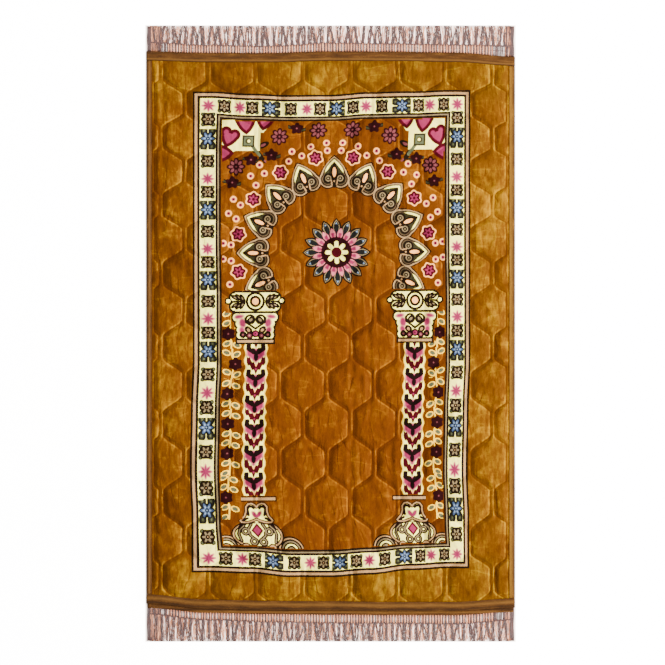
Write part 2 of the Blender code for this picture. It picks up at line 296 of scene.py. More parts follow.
DAISIES, DAISY_REACH = ((0.1199, 0.4286), (0.0370, 0.4423), (0.2107, 0.3630)), 0.0195
ROUND_EDGE = 0.004  # how far past its reach a round motif still has the faces
FIELD_CORNER = (0.2440, 0.4654)  # inner corner of the frame, at the head
HEARTS_PATCH = (0.1300, 0.3600, 0.1900, 0.1120)  # least u and v, how far out it reaches and has no flowers
PATCH_EDGE = 0.001
CAPITAL = (0.1732, 0.0379)
CAPITAL_TOP = 0.0960
CAPITAL_HALVES = (  # v above which, half width
    (0.0460, 0.0640), (0.0140, 0.0510), (-0.0221, 0.0430), (-1.0, 0.0),
)
COLUMN_U, COLUMN_HALF, COLUMN_TOP = 0.1720, 0.0280, -0.0221
BOWS = (-0.0314, -0.0878, -0.1442, -0.1962, -0.2526, -0.3111)
BASE = (0.1690, -0.4060)
BASE_INNER, BASE_TOP, BOWL_TOP = 0.0760, -0.3490, -0.4020
VINE_U, VINE_TOP = 0.1995, 0.075
VINE_TURNS = 0.22  # nearer the axis than this, a flower and its leaves are turned half round
VINE_FLOWERS = ((0.2294, 0.0011), (0.2150, -0.0646), (0.2290, -0.1290), (0.2270, -0.1940), (0.2270, -0.2580),
                (0.2310, -0.3534))

PRINTS = (
    "plain", "frame_star", "frame_rosette", "frame_bloom", "frame_corner", "medallion", "arch_heart",
    "arch_rosette", "arch_dot", "blossom", "daisy", "corner_hearts", "capital", "column", "base", "vine",
)


def along_rug(table, y):
    """Value at y of a table that runs from the head to the foot, eased from one row to the next."""
    if y >= table[0][0]:
        return table[0][1]
    for (head, start), (foot, end) in zip(table, table[1:]):
        if y >= foot:
            return start + (end - start) * ease((head - y) / (head - foot))
    return table[-1][1]


def print_place(x, y):
    """The point of the print that lies at x, y on the mat."""
    u = x - along_rug(PRINT_DRIFT, y)
    u -= along_rug(PRINT_BULGE, y) * (1 - min(1.0, abs(u) / FRAME_HALF) ** 3)
    full, gone = SAG_FADES
    end = ramp(abs(y), gone, full)
    sag = (1 - end) * across_line(MIDDLE_SAG, x, SAG_HALF)
    sag += end * across_line(HEAD_SAG if y > 0 else FOOT_SAG, x, SAG_HALF)
    return u, y + sag


class Motif:
    """One place of the print: which motif, where its middle is, how it is turned and stretched."""

    def __init__(self, kind, u, v, reach=0.0, turn=0.0, stretch=1.0):
        self.kind, self.u, self.v, self.reach = kind, u, v, reach
        self.cos, self.sin, self.stretch = math.cos(turn), math.sin(turn), stretch

    def place(self, u, v):
        """A point of the print as the motif's own x and y."""
        du, dv = u - self.u, v - self.v
        return (du * self.cos + dv * self.sin) / self.stretch, dv * self.cos - du * self.sin

    def away(self, u, v):
        """How far a point of the print is past the motif's edge."""
        x, y = self.place(u, v)
        if self.kind == "arch_heart":
            x = abs(x)
            if y > HEART_LOBE_Y + 0.006:
                return max(0.8 * x + 0.59 * (y - HEART_TIP), -0.03)
            return math.hypot(x - HEART_LOBE_X, y - HEART_LOBE_Y) - HEART_LOBE
        return math.hypot(x, y) - self.reach


def side_motifs():
    """The motifs down one side of the frame, from star to star."""
    motifs = []
    for head, foot in zip(SIDE_STARS, SIDE_STARS[1:]):
        period = head - foot
        for share, kind in ((0.0, "frame_star"), *SIDE_BETWEEN):
            v, stretch = head - share * period, period / SIDE_PERIOD
            motifs.append(Motif(kind, BAND_SIDE, v, turn=-math.pi / 2, stretch=stretch))
    return motifs


def on_arch(kind, turn, radius, reach=0.0, upright=False):
    u, v = radius * math.sin(turn), ARCH_V + radius * math.cos(turn)
    return Motif(kind, u, v, reach, 0.0 if upright else -turn)


def field_motifs():
    """The round motifs of the field, and the hearts."""
    motifs = [MEDALLION_MOTIF]
    motifs += [on_arch("arch_heart", step * ARCH_PITCH, HEART_RADIUS) for step in range(HEARTS)]
    motifs += [on_arch("arch_rosette", (step + 0.5) * ARCH_PITCH, ROSETTE_CIRCLE, ROSETTE_REACH)
               for step in range(ROSETTES)]
    motifs += [on_arch("arch_dot", math.radians(turn), radius, DOT_REACH, True) for turn, radius in ARCH_DOTS]
    motifs += [Motif("blossom", u, v, BLOSSOM_REACH) for u, v in BLOSSOMS]
    motifs += [Motif("daisy", u, v, DAISY_REACH) for u, v in DAISIES]
    return motifs


SIDE_MOTIFS = side_motifs()
END_MOTIFS = [Motif(kind, u, 0.0, stretch=END_SQUEEZE) for u, kind in END_ROW]
CORNER_MOTIF = Motif("frame_corner", BAND_SIDE, 0.0)
MEDALLION_MOTIF = Motif("medallion", *MEDALLION, MEDALLION_REACH)
FIELD_MOTIFS = field_motifs()
CORNER_PATCH = Motif("corner_hearts", *FIELD_CORNER)
CAPITAL_MOTIF = Motif("capital", *CAPITAL)
COLUMN_MOTIFS = [Motif("column", COLUMN_U, v) for v in BOWS]
BASE_MOTIF = Motif("base", *BASE)
VINE_MOTIFS = [Motif("vine", u, v, turn=math.pi if u < VINE_TURNS else 0.0) for u, v in VINE_FLOWERS]


def past_end(v):
    return v - BAND_HEAD if v > 0 else BAND_FOOT - v


def nearest_along(motifs, v):
    return min(motifs, key=lambda motif: abs(motif.v - v))


def printed_motif(u, v):
    """The motif that a face of the mat belongs to, or None, for a middle whose u is not under 0."""
    inner, outer = BAND_REACH
    past = u - BAND_SIDE, past_end(v)
    if max(past) > outer:
        return None
    if min(past) > -CORNER_STAR:
        return CORNER_MOTIF
    if max(past) > -inner:
        if past[0] > past[1]:
            return nearest_along(SIDE_MOTIFS, v)
        return min(END_MOTIFS, key=lambda motif: abs(motif.u - u))
    nearest = min(FIELD_MOTIFS, key=lambda motif: motif.away(u, v))
    from_corner = FIELD_CORNER[0] - u + FIELD_CORNER[1] - v
    least_u, least_v, reach, bare = HEARTS_PATCH
    if u > least_u and v > least_v and from_corner < reach:
        if from_corner < bare or nearest.away(u, v) > PATCH_EDGE:
            return CORNER_PATCH
    capital_half = next(half for foot, half in CAPITAL_HALVES if v > foot)
    if abs(u - CAPITAL[0]) < capital_half and v < CAPITAL_TOP:
        return CAPITAL_MOTIF
    if v < BASE_TOP and u > BASE_INNER and (u < VINE_U or v < BOWL_TOP):
        return BASE_MOTIF
    if abs(u - COLUMN_U) < COLUMN_HALF and v < COLUMN_TOP:
        return nearest_along(COLUMN_MOTIFS, v)
    if u > VINE_U and v < VINE_TOP:
        return nearest_along(VINE_MOTIFS, v)
    return nearest if nearest.away(u, v) < ROUND_EDGE else None


def face_motif(u, v):
    """The motif of a face with its middle at u, v, and the side of the axis it is drawn for."""
    if MEDALLION_MOTIF.away(u, v) < MEDALLION_EDGE:
        return MEDALLION_MOTIF, 1
    motif = printed_motif(abs(u), v)
    mirrored = u < 0 and motif not in (None, MEDALLION_MOTIF) and motif.u != 0.0
    return motif, -1 if mirrored else 1


def motif_place(motif, side, u, v):
    """A point of the print as the motif's own x and y, on either side of the axis."""
    if motif is None:
        return 0.0, 0.0
    if motif is CORNER_MOTIF or motif in END_MOTIFS:
        return motif.place(side * u, past_end(v))
    return motif.place(side * u, v)


def middle_of(points):
    return tuple(sum(parts) / len(points) for parts in zip(*points))


def lay_print(mesh, places, row_lines):
    """Gives each face of the upper side its motif, and its corners their places on cloth, motif and seam."""
    cloth_map, motif_map, seam_map = (mesh.loops.layers.uv.new(name) for name in ("cloth", "motif", "seam"))
    prints = [print_place(x, y) for x, y in places]
    across = MAT_COLUMNS + 1
    mesh.verts.index_update()
    for face in mesh.faces:
        corners = [vertex.index for vertex in face.verts]
        middle_u, middle_v = middle_of([prints[corner] for corner in corners])
        motif, side = face_motif(middle_u, middle_v)
        face.material_index = PRINTS.index(motif.kind) if motif else 0
        middle_x, _ = middle_of([places[corner] for corner in corners])
        lines = row_lines[corners[0] // across]
        nearest = min(range(len(lines)), key=lambda line: abs(lines[line][0] - middle_x))
        for loop in face.loops:
            index = loop.vert.index
            u, v = prints[index]
            loop[cloth_map].uv = (u, v)
            loop[motif_map].uv = motif_place(motif, side, u, v)
            line_x, lean = row_lines[index // across][nearest]
            loop[seam_map].uv = ((places[index][0] - line_x) * lean, places[index][1])


def close_mat(mesh):
    """Rounds the pinched edge in under the tapes and closes the underside, which lies on the floor."""
    half, head, foot = RUG_WIDTH / 2, HEAD_EDGE, FOOT_EDGE
    tapes = (SIDE_TAPE, END_TAPE, END_TAPE)
    loops = [
        ([EDGE_INSET] * 3, EDGE_HIGH),
        ([EDGE_TIP] * 3, (EDGE_LOW + EDGE_HIGH) / 2),
        ([EDGE_INSET] * 3, EDGE_LOW),
        ([tape + PAST_TAPE for tape in tapes], EDGE_LOW),
        ([tape + UNDERSIDE_SWELL for tape in tapes], 0.0),
    ]
    edge = [e for e in mesh.edges if e.is_boundary]
    for (before, _), (after, height) in zip(loops, loops[1:]):
        side, up, down = ((e - new) / (e - old) for e, old, new in zip((half, head, foot), before, after))
        made = bmesh.ops.extrude_edge_only(mesh, edges=edge)["geom"]
        for vertex in (v for v in made if isinstance(v, bmesh.types.BMVert)):
            x, y, _ = vertex.co
            vertex.co = (x * side, y * (up if y > 0 else down), height)
        edge = [e for e in made if isinstance(e, bmesh.types.BMEdge) and e.is_boundary]
    bmesh.ops.contextual_create(mesh, geom=edge)
    bmesh.ops.recalc_face_normals(mesh, faces=mesh.faces[:])


def finished(name, mesh, *materials):
    """Closes a bmesh into an object that rides on the rug's one body."""
    data = bpy.data.meshes.new(name)
    mesh.to_mesh(data)
    mesh.free()
    for material in materials:
        data.materials.append(material)
    data.shade_smooth()
    made = bpy.data.objects.new(name, data)
    bpy.context.scene.collection.objects.link(made)
    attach(made, "root")
    return made


lay_print(mat_mesh, mat_places, mat_lines)
close_mat(mat_mesh)

# ---------------------------------------------------------------- quilted mat, its plush, its dyes and its painted light
# Short polyester pile with a silky nap: it looks darker or lighter with the way the pile lies. Painted
# highlight
# and shade are laid into its colour too: beside the stitch lines, along creases and folds, and lighter on the
# right margin toward the key light. The motifs are printed in it with soft, slightly bled edges.


def dye(red, green, blue, depth=0.55):
    """A dye's colour from its three parts in steps from 0 to 255, at a share of its full lightness."""
    return tuple(depth * (value / 255) ** 2.2 for value in (red, green, blue))


GOLD_DEEP, GOLD, GOLD_PALE = dye(90, 46, 2), dye(114, 65, 3), dye(168, 112, 7)
IVORY, BEIGE, SAND, TAUPE = dye(255, 238, 112, 1.0), dye(202, 152, 98), dye(146, 124, 88), dye(106, 82, 58)
BARK, OLIVE, SAGE = dye(32, 21, 10), dye(58, 54, 34), dye(96, 101, 72)
ROSE, ROSE_PALE, PEACH = dye(158, 50, 84), dye(244, 122, 130), dye(252, 166, 88, 1.0)
WINE, PLUM, MAUVE = dye(74, 6, 22), dye(40, 2, 12), dye(128, 66, 68)
SKY, SKY_PALE, SLATE, INK = dye(74, 92, 124), dye(146, 168, 194), dye(30, 31, 30), dye(30, 12, 12)
STRAW = dye(250, 194, 34, 0.9)


class Reading:
    """A number read at every point of the cloth. Reckoning with readings lays Math nodes."""

    def __init__(self, tree, socket):
        self.tree, self.socket = tree, socket

    def worked(self, operation, *others, clamp=False):
        node = self.tree.nodes.new("ShaderNodeMath")
        node.operation = operation
        node.use_clamp = clamp
        for socket, value in zip(node.inputs, (self, *others)):
            if isinstance(value, Reading):
                self.tree.links.new(value.socket, socket)
            else:
                socket.default_value = value
        return Reading(self.tree, node.outputs[0])

    def __add__(self, other):
        return self.worked("ADD", other)

    def __sub__(self, other):
        return self.worked("SUBTRACT", other)

    def __mul__(self, other):
        return self.worked("MULTIPLY", other)

    def __truediv__(self, other):
        return self.worked("DIVIDE", other)

    def __neg__(self):
        return self.worked("MULTIPLY", -1.0)

    def __abs__(self):
        return self.worked("ABSOLUTE")

    def least(self, other):
        return self.worked("MINIMUM", other)

    def most(self, other):
        return self.worked("MAXIMUM", other)

    def cosine(self):
        return self.worked("COSINE")

    def within(self):
        """The reading held between 0 and 1."""
        return self.worked("ADD", 0.0, clamp=True)

    def peak(self, place, wide):
        """1 where the reading is at this place, and down to 0 this far to each side of it."""
        return abs(self - place).worked("MULTIPLY_ADD", -1 / wide, 1.0, clamp=True)

    def folded(self, period):
        """The distance to the nearest multiple of twice the period."""
        return self.worked("PINGPONG", period)


def linked(tree, kind, **inputs):
    """A node with some of its inputs set or linked, by name."""
    node = tree.nodes.new(kind)
    for name, value in inputs.items():
        socket = node.inputs[name.replace("_", " ")]
        if isinstance(value, bpy.types.NodeSocket):
            tree.links.new(value, socket)
        else:
            socket.default_value = value
    return node


def new_material(name):
    """A material with its node tree and its shader."""
    material = bpy.data.materials.new(name)
    material.use_nodes = True
    return material, material.node_tree, material.node_tree.nodes["Principled BSDF"]


def mapped(tree, uv_name):
    node = tree.nodes.new("ShaderNodeUVMap")
    node.uv_map = uv_name
    return node.outputs[0]


def split(tree, vector):
    """The x and the y of a vector, as readings."""
    parts = linked(tree, "ShaderNodeSeparateXYZ", Vector=vector)
    return Reading(tree, parts.outputs[0]), Reading(tree, parts.outputs[1])


def scaled(tree, vector, x, y):
    node = tree.nodes.new("ShaderNodeVectorMath")
    node.operation = "MULTIPLY"
    tree.links.new(vector, node.inputs[0])
    node.inputs[1].default_value = (x, y, 1.0)
    return node.outputs[0]


def mottled(tree, vector, x, y, detail=2.0, rough=0.5):
    """Noise on the cloth with this many blots to the metre each way."""
    node = linked(tree, "ShaderNodeTexNoise", Vector=scaled(tree, vector, x, y), Scale=1.0, Detail=detail,
                  Roughness=rough)
    node.noise_dimensions = "2D"
    return Reading(tree, node.outputs[0])


def coloured(tree, factor, stops):
    """A colour ramp over a reading from 0 to 1, as (place, colour)."""
    node = tree.nodes.new("ShaderNodeValToRGB")
    tree.links.new(factor.socket, node.inputs[0])
    ramp_stops = node.color_ramp.elements
    while len(ramp_stops) < len(stops):
        ramp_stops.new(1.0)
    for stop, (place, colour) in zip(ramp_stops, stops):
        stop.position = place
        stop.color = (*colour, 1.0) if len(colour) == 3 else colour
    return node


def mixed(tree, factor, below, above, how="MIX"):
    node = tree.nodes.new("ShaderNodeMix")
    node.data_type = "RGBA"
    node.blend_type = how
    for socket, value in ((node.inputs[0], factor), (node.inputs[6], below), (node.inputs[7], above)):
        value = value.socket if isinstance(value, Reading) else value
        if isinstance(value, bpy.types.NodeSocket):
            tree.links.new(value, socket)
        elif isinstance(value, tuple):
            socket.default_value = (*value, 1.0)
        else:
            socket.default_value = value
    return node.outputs[2]


def wear(shader, colour, normal, values):
    """Gives a shader its colour, its bump and the values of other inputs."""
    shader.id_data.links.new(colour, shader.inputs["Base Color"])
    shader.id_data.links.new(normal, shader.inputs["Normal"])
    for name, value in values.items():
        shader.inputs[name].default_value = value


FIELD_WIDE, FIELD_LONG = 0.262, 0.478  # half the plush inside the frame, which is darker than the margins
MARGIN_LONG = 0.48  # past this the ends' margins are yellower
THIN = 1 / 22  # share of a noise's range that makes a thin line
RIGHT_MARGIN_LIGHT = (1.10, 1.24, 1.30)  # painted light: what the right margin's red, green and blue are to the left one's, lighter toward the key light
END_TINT = (0.98, 1.08, 2.00)  # and the same for the two ends' margins
FIELD_TINT = (0.96, 0.80, 0.80)  # and for the field
NAP_DIM, NAP_EVEN, NAP_LIT = (0.72, 0.70, 0.68), (0.97, 0.97, 0.97), (1.10, 1.10, 1.10)


def plush_lie(tree, place, in_field):
    """How light the nap looks, from 0 to 1, with painted highlight and shade beside the stitch lines and
    along creases and folds, and the height of its pile.
    """
    broad = mottled(tree, place, 7.0, 5.0, 2.0)
    patches = mottled(tree, place, 30.0, 22.0, 3.0, 0.55)
    strokes = mottled(tree, place, 160.0, 55.0, 2.0, 0.6)
    fine = mottled(tree, place, 900.0, 620.0, 1.0)
    pressed = (patches - 0.42).worked("MULTIPLY", 5.0, clamp=True)
    # Painted highlight along thin level creases and painted shade along thin upright folds, where the pressed
    # mask lets them; both also go into the pile's bump.
    creases = mottled(tree, place, 9.0, 34.0, 2.0, 0.4).peak(0.5, THIN) * pressed
    folds = mottled(tree, place, 36.0, 8.0, 2.0, 0.4).peak(0.5, THIN) * pressed
    past_seam = split(tree, mapped(tree, "seam"))[0] * 1000
    # Darker along each stitch line: the thread, and painted shade of the groove it pulls in.
    thread_and_stitch_shade = abs(past_seam).worked("MULTIPLY_ADD", -1 / 1.8, 1.2, clamp=True)
    uneven = (strokes + patches - 0.75).worked("MULTIPLY", 2.2, clamp=True)
    # Painted highlight just left of each stitch line, on the side that faces the key light, and painted shade
    # further out to its right, both uneven along the line.
    seam_highlight_and_shade = past_seam.peak(-3.4, 2.6) * uneven * 0.34 - past_seam.peak(4.5, 4.5) * uneven * 0.16
    nap_tone_and_shade = broad * 0.38 + patches * 0.42 + strokes * 0.28 + fine * 0.20
    nap_tone_and_shade = (nap_tone_and_shade - 0.64) * (in_field * -0.8 + 2.0) + 0.5 + seam_highlight_and_shade
    nap_tone_and_shade = (nap_tone_and_shade - thread_and_stitch_shade * 0.24 + creases * 0.16 - folds * 0.26).within()
    return nap_tone_and_shade, strokes + patches * 1.4 + creases * 0.9 - folds * 0.9


def plush_group():
    """The bare plush: its gold dye with the nap's tone and its painted highlight and shade, lighter on the
    right margin as painted light, the nap's lightness with the same painted marks, and the bump of the pile.
    """
    tree = bpy.data.node_groups.new("gold_plush", "ShaderNodeTree")
    for name, kind in (("Gold", "Color"), ("Nap_and_shade", "Color"), ("Normal", "Vector"), ("Bleed", "Float")):
        tree.interface.new_socket(name, in_out="OUTPUT", socket_type="NodeSocket" + kind)
    out = tree.nodes.new("NodeGroupOutput")
    place = mapped(tree, "cloth")
    across, along = split(tree, place)
    in_field = ((abs(across) - FIELD_WIDE).most(abs(along) - FIELD_LONG) * -60.0).within()
    nap_tone_and_shade, pile = plush_lie(tree, place, in_field)
    # The nap's lightness, with the painted highlight and shade laid into it.
    nap = coloured(tree, nap_tone_and_shade, [(0.0, NAP_DIM), (0.5, NAP_EVEN), (1.0, NAP_LIT)])
    gold = coloured(tree, nap_tone_and_shade, [(0.0, GOLD_DEEP), (0.5, GOLD), (1.0, GOLD_PALE)]).outputs[0]
    # Painted light: the margin plush grows lighter and yellower from the left edge to the middle, and stays
    # so over the right half, where the key light is.
    toward_key_light, at_ends = (across * 2.0 + 0.9).within(), ((abs(along) - MARGIN_LONG) * 40.0).within()
    margin = mixed(tree, toward_key_light, gold, mixed(tree, 1.0, gold, RIGHT_MARGIN_LIGHT, "MULTIPLY"))
    margin = mixed(tree, at_ends, margin, mixed(tree, 1.0, margin, END_TINT, "MULTIPLY"))
    gold_with_painted_light = mixed(tree, in_field, margin, mixed(tree, 1.0, gold, FIELD_TINT, "MULTIPLY"))
    tufts = mottled(tree, place, 520.0, 420.0, 3.0, 0.7)
    bump = linked(tree, "ShaderNodeBump", Strength=0.5, Distance=0.0016, Height=(tufts * 0.6 + pile).socket)
    tree.links.new(gold_with_painted_light, out.inputs["Gold"])
    tree.links.new(nap.outputs[0], out.inputs["Nap_and_shade"])
    tree.links.new(bump.outputs[0], out.inputs["Normal"])
    tree.links.new((tufts - 0.5).socket, out.inputs["Bleed"])
    return tree


PLUSH = plush_group()
BLEED = 1.6  # mm that the pile carries a dye over its edge
SOFT = 0.9  # mm over which a printed edge fades
HEART_BOW = 1.5  # how round a heart's sides are, as the radius of their bend to their length


class Panel:
    """One printed plush: the place on its motif in mm, and the colour printed on it so far."""

    def __init__(self, name):
        self.material, self.tree, self.shader = new_material(name)
        self.plush = self.tree.nodes.new("ShaderNodeGroup")
        self.plush.node_tree = PLUSH
        bleed = Reading(self.tree, self.plush.outputs["Bleed"]) * BLEED
        self.x, self.y = (part * 1000 + bleed for part in split(self.tree, mapped(self.tree, "motif")))
        self.colour = self.plush.outputs["Gold"]

    def far(self, x, y):
        """Distance of (x, y) from 0."""
        return (x * x + y * y).worked("SQRT")

    def spot(self, x, y, radius, wide=1.0):
        """Distance out of a round spot, or of an oval that is this much wider across."""
        across = (self.x - x) / wide if wide != 1.0 else self.x - x
        return self.far(across, self.y - y) - radius

    def turn(self):
        """The turn round the motif's middle, from its own y."""
        return self.x.worked("ARCTAN2", self.y)

    def stroke(self, start, end, x=None, y=None):
        """Distance from the straight line between two points."""
        along_x, along_y = end[0] - start[0], end[1] - start[1]
        from_x, from_y = (x or self.x) - start[0], (y or self.y) - start[1]
        share = from_x * along_x + from_y * along_y
        share = share.worked("MULTIPLY", 1 / (along_x**2 + along_y**2), clamp=True)
        return self.far(from_x - share * along_x, from_y - share * along_y)

    def path(self, points, x=None, y=None):
        """Distance from a line through these points."""
        strokes = (self.stroke(*ends, x, y) for ends in zip(points, points[1:]))
        return functools.reduce(Reading.least, strokes)

    def ellipse(self, x, y, wide, high):
        """Even distance out of an upright ellipse with these half sizes, mirrored about the axis."""
        from_x, from_y = abs(self.x) - x, self.y - y
        share = self.far(from_x / wide, from_y / high)
        return share * (share - 1.0) / self.far(from_x / wide**2, from_y / high**2).most(0.001)

    def oval(self, x, y, half_long, half_wide, turn, fold=False):
        """Distance out of an oval whose long way is turned this many degrees up from x."""
        from_x, from_y = (abs(self.x) if fold else self.x) - x, self.y - y
        cos, sin = math.cos(math.radians(turn)), math.sin(math.radians(turn))
        along, across = from_x * cos + from_y * sin, from_y * cos - from_x * sin
        return self.far(along * (half_wide / half_long), across) - half_wide

    def heart(self, middle, tip, lobe, apart=0.74):
        """Distance out of a heart: the point between its two lobes, its tip and the radius of a lobe."""
        long = math.hypot(tip[0] - middle[0], tip[1] - middle[1])
        way_x, way_y = (tip[0] - middle[0]) / long, (tip[1] - middle[1]) / long
        from_x, from_y = self.x - middle[0], self.y - middle[1]
        up, out = from_x * way_x + from_y * way_y, abs(from_x * way_y - from_y * way_x)
        reach = math.hypot(lobe * apart, long)
        slope = math.atan2(lobe * apart, long) + math.asin(lobe / reach)
        tangent = math.sqrt(reach**2 - lobe**2)
        bow = HEART_BOW * tangent
        drop = math.sqrt(bow**2 - (tangent / 2) ** 2)
        centre_out = tangent / 2 * math.sin(slope) - drop * math.cos(slope)
        centre_up = long - tangent / 2 * math.cos(slope) - drop * math.sin(slope)
        edge = self.far(out - centre_out, up - centre_up) - bow
        past = (out * math.sin(slope) + (-up + long) * math.cos(slope) - tangent) * 100
        return edge.most(past).most(up * -100).least(self.far(out - lobe * apart, up) - lobe)

    def ring_of(self, petals, offset=0.0):
        """Place across and along the nearest petal of a ring of them."""
        turn = (self.turn() + offset).folded(math.pi / petals)
        away = self.far(self.x, self.y)
        return away * turn.worked("SINE"), away * turn.cosine()

    def lay(self, away, colour, soft=SOFT):
        """Prints a colour where a distance is under 0."""
        cover = away.worked("MULTIPLY_ADD", -1.0 / soft, 0.5, clamp=True)
        self.colour = mixed(self.tree, cover, self.colour, colour)

    def lay_bands(self, away, start, bands):
        """Prints stripes over a distance: each is (where it ends, its colour or None for what is there)."""
        long = bands[-1][0] - start
        share = away.worked("MULTIPLY_ADD", 1.0 / long, -start / long, clamp=True)
        bare = (0.0, 0.0, 0.0, 0.0)
        stops, place = [], start
        for stop, colour in bands:
            stops.append(((place - start) / long, (*colour, 1.0) if colour else bare))
            place = stop
        stops.append((1.0, bare))
        node = coloured(self.tree, share, stops)
        node.color_ramp.interpolation = "CONSTANT"
        self.colour = mixed(self.tree, node.outputs[1], self.colour, node.outputs[0])

    def layers(self, away, *colours):
        """Prints one colour over the other, each as (how far out it reaches, the colour, how soft)."""
        for reach, *colour in colours:
            self.lay(away - reach, *colour)

    def flower(self, petals, *colours):
        """The same with petals: each is (how far they swing in and out, radius, the colour, how soft)."""
        away, turn = self.far(self.x, self.y), (self.turn() * petals).cosine()
        for swing, radius, *colour in colours:
            self.lay(away - (turn * swing + radius), *colour)

    def rings(self, x, y, *bands):
        """Prints rings round a point and its mirror image."""
        self.lay_bands(self.far(abs(self.x) - x, self.y - y), 0.0, bands)

    def leaf(self, x, y, half_long, half_wide, turn, *bands, fold=True):
        """Prints bands round the middle of an oval."""
        self.lay_bands(self.oval(x, y, half_long, half_wide, turn, fold), -half_wide, bands)

    def finish(self):
        # The nap's lightness, painted highlight and shade included, multiplies every printed colour.
        napped = mixed(self.tree, 1.0, self.colour, self.plush.outputs["Nap_and_shade"], "MULTIPLY")
        wear(self.shader, napped, self.plush.outputs["Normal"], {
            "Roughness": 0.82,
            "Specular IOR Level": 0.04,
            "Sheen Weight": 0.13,
            "Sheen Roughness": 0.4,
            "Sheen Tint": (1.0, 0.62, 0.16, 1.0),
        })
        return self.material


def frame_lines(panel, outward):
    """The frame's band and its lines, over the distance outward from the middle of the band."""
    panel.lay_bands(outward, -28.0, [
        (-27.4, None), (-23.2, BARK), (-20.4, SAND), (-16.2, BARK), (16.2, IVORY), (21.2, BARK),
        (26.4, BEIGE), (31.0, BARK),
    ])


def star(panel):
    """A pink star of eight rays."""
    panel.flower(8, (2.6, 11.6, ROSE_PALE, 3.0), (2.8, 8.2, ROSE, 3.4))


def frame_star(panel):
    frame_lines(panel, panel.y)
    star(panel)


def frame_corner(panel):
    frame_lines(panel, panel.x.most(panel.y))
    star(panel)


def frame_rosette(panel):
    """A brown rosette with six drab petals and sage leaves at its corners."""
    frame_lines(panel, panel.y)
    panel.layers(panel.far(abs(panel.x) - 10.5, abs(panel.y) - 10.0), (4.8, OLIVE), (2.2, SAGE))
    panel.flower(6, (0.8, 14.2, BARK), (3.2, 7.6, SAND))
    panel.rings(0.0, 0.0, (1.2, BEIGE), (4.0, BARK))


def frame_bloom(panel):
    """A blue flower on four dark leaves."""
    frame_lines(panel, panel.y)
    leaf = panel.far((abs(panel.x) - 16.0) / 1.5, abs(panel.y) - 8.5)
    panel.layers(leaf, (7.8, SLATE), (4.0, OLIVE), (1.8, SAGE))
    panel.flower(6, (1.8, 14.4, SLATE), (3.6, 10.0, SKY), (3.6, 5.4, SKY_PALE, 1.8))
    panel.rings(0.0, 0.0, (1.6, SKY_PALE), (3.4, SLATE), (4.6, SKY))


def medallion(panel):
    """Cream petals round a dark red middle on black, then pink petals, then pointed dark ones."""
    away = panel.far(panel.x, panel.y)
    across, along = panel.ring_of(16)
    leaf = across - (((along - 55) / 18.0).worked("POWER", 2.0) * -9.4 + 9.4)
    panel.lay_bands(leaf, -12.0, [(-6.0, SKY_PALE), (-4.0, SLATE), (-2.2, SAND), (1.6, BARK)])
    panel.lay(panel.far(across / 0.42, along - 51) - 11.0, SLATE)
    panel.lay(away - 45, SLATE)
    across, along = panel.ring_of(16, math.pi / 16)
    petal = across - (((along - 40) / 13.0).worked("POWER", 2.0) * -6.0 + 6.0)
    panel.lay(petal, ROSE_PALE, 1.5)
    panel.lay(petal.most(along - 45) + 2.2, ROSE, 1.8)
    panel.lay(away - 33.5, PLUM, 2.0)
    across, along = panel.ring_of(8)
    panel.lay(panel.stroke((0.0, 8.0), (0.0, 20.5), across, along) - 4.3, IVORY, 1.4)
    panel.lay(away - 11.4, WINE, 1.5)


def arch_heart(panel):
    """An ivory heart, its point outward, with two dark rolled lobes and a peach almond between them."""
    heart = panel.heart((0.0, -16.0), (0.0, 35.0), 19.0)
    panel.lay_bands(heart, -14.0, [
        (-8.4, OLIVE), (-6.8, TAUPE), (-4.6, BARK), (-4.0, TAUPE), (-2.6, SAND), (-1.0, BEIGE), (1.8, BARK),
    ])
    tip = (-panel.y + 6.0).most(0.0)
    panel.lay((heart + 6.0 + tip * 0.22).most(-heart - 10.4 + tip * 0.34), IVORY)
    panel.rings(13.0, -14.0, (1.9, SAND), (4.4, BARK), (6.8, SAND), (11.2, BARK))
    panel.lay(panel.stroke((0.0, -30.0), (0.0, -14.0)) - 4.4, BARK)
    panel.lay(panel.stroke((5.0, -27.0), (6.6, -18.0), abs(panel.x), panel.y) - 1.4, BEIGE)
    panel.rings(0.0, -20.0, (2.0, BEIGE), (4.2, BARK))
    panel.lay(panel.spot(0.0, -0.4, 15.0, 0.52), BARK)
    panel.lay(panel.spot(0.0, -0.4, 10.8, 0.38), PEACH)
    panel.lay(panel.spot(0.0, 17.0, 4.6, 0.75), BARK)


def arch_rosette(panel):
    """A dark red rosette with pink petals in a cream scalloped edge."""
    panel.flower(6, (1.5, 16.5, PEACH, 1.5), (1.6, 13.4, WINE, 1.5), (3.0, 7.4, ROSE, 1.8), (0.0, 3.0, WINE))


def arch_dot(panel):
    """A pink dot with a dark middle in a cream ring."""
    panel.layers(panel.far(panel.x, panel.y), (7.0, PEACH, 2.0), (4.0, ROSE, 2.0), (2.0, WINE, 1.5))


def blossom(panel):
    """A five-petalled plum flower with a leaf on each side."""
    for side in (-1, 1):
        panel.lay(panel.oval(side * 16.0, side * 3.0, 8.5, 4.2, 20 * side), BARK)
        panel.lay(panel.oval(side * 16.5, side * 3.0, 6.5, 2.2, 20 * side), OLIVE)
    panel.flower(5, (2.2, 12.4, PLUM, 1.4), (0.0, 1.8, MAUVE, 1.6))


def daisy(panel):
    """A dark flower with eight mauve petals."""
    across, along = panel.ring_of(8)
    panel.layers(panel.far(across * 1.6, along - 11.0), (9.0, PLUM, 1.4), (4.8, MAUVE, 1.8))
    panel.layers(panel.far(panel.x, panel.y), (5.0, PLUM, 1.6), (1.8, MAUVE, 1.6))


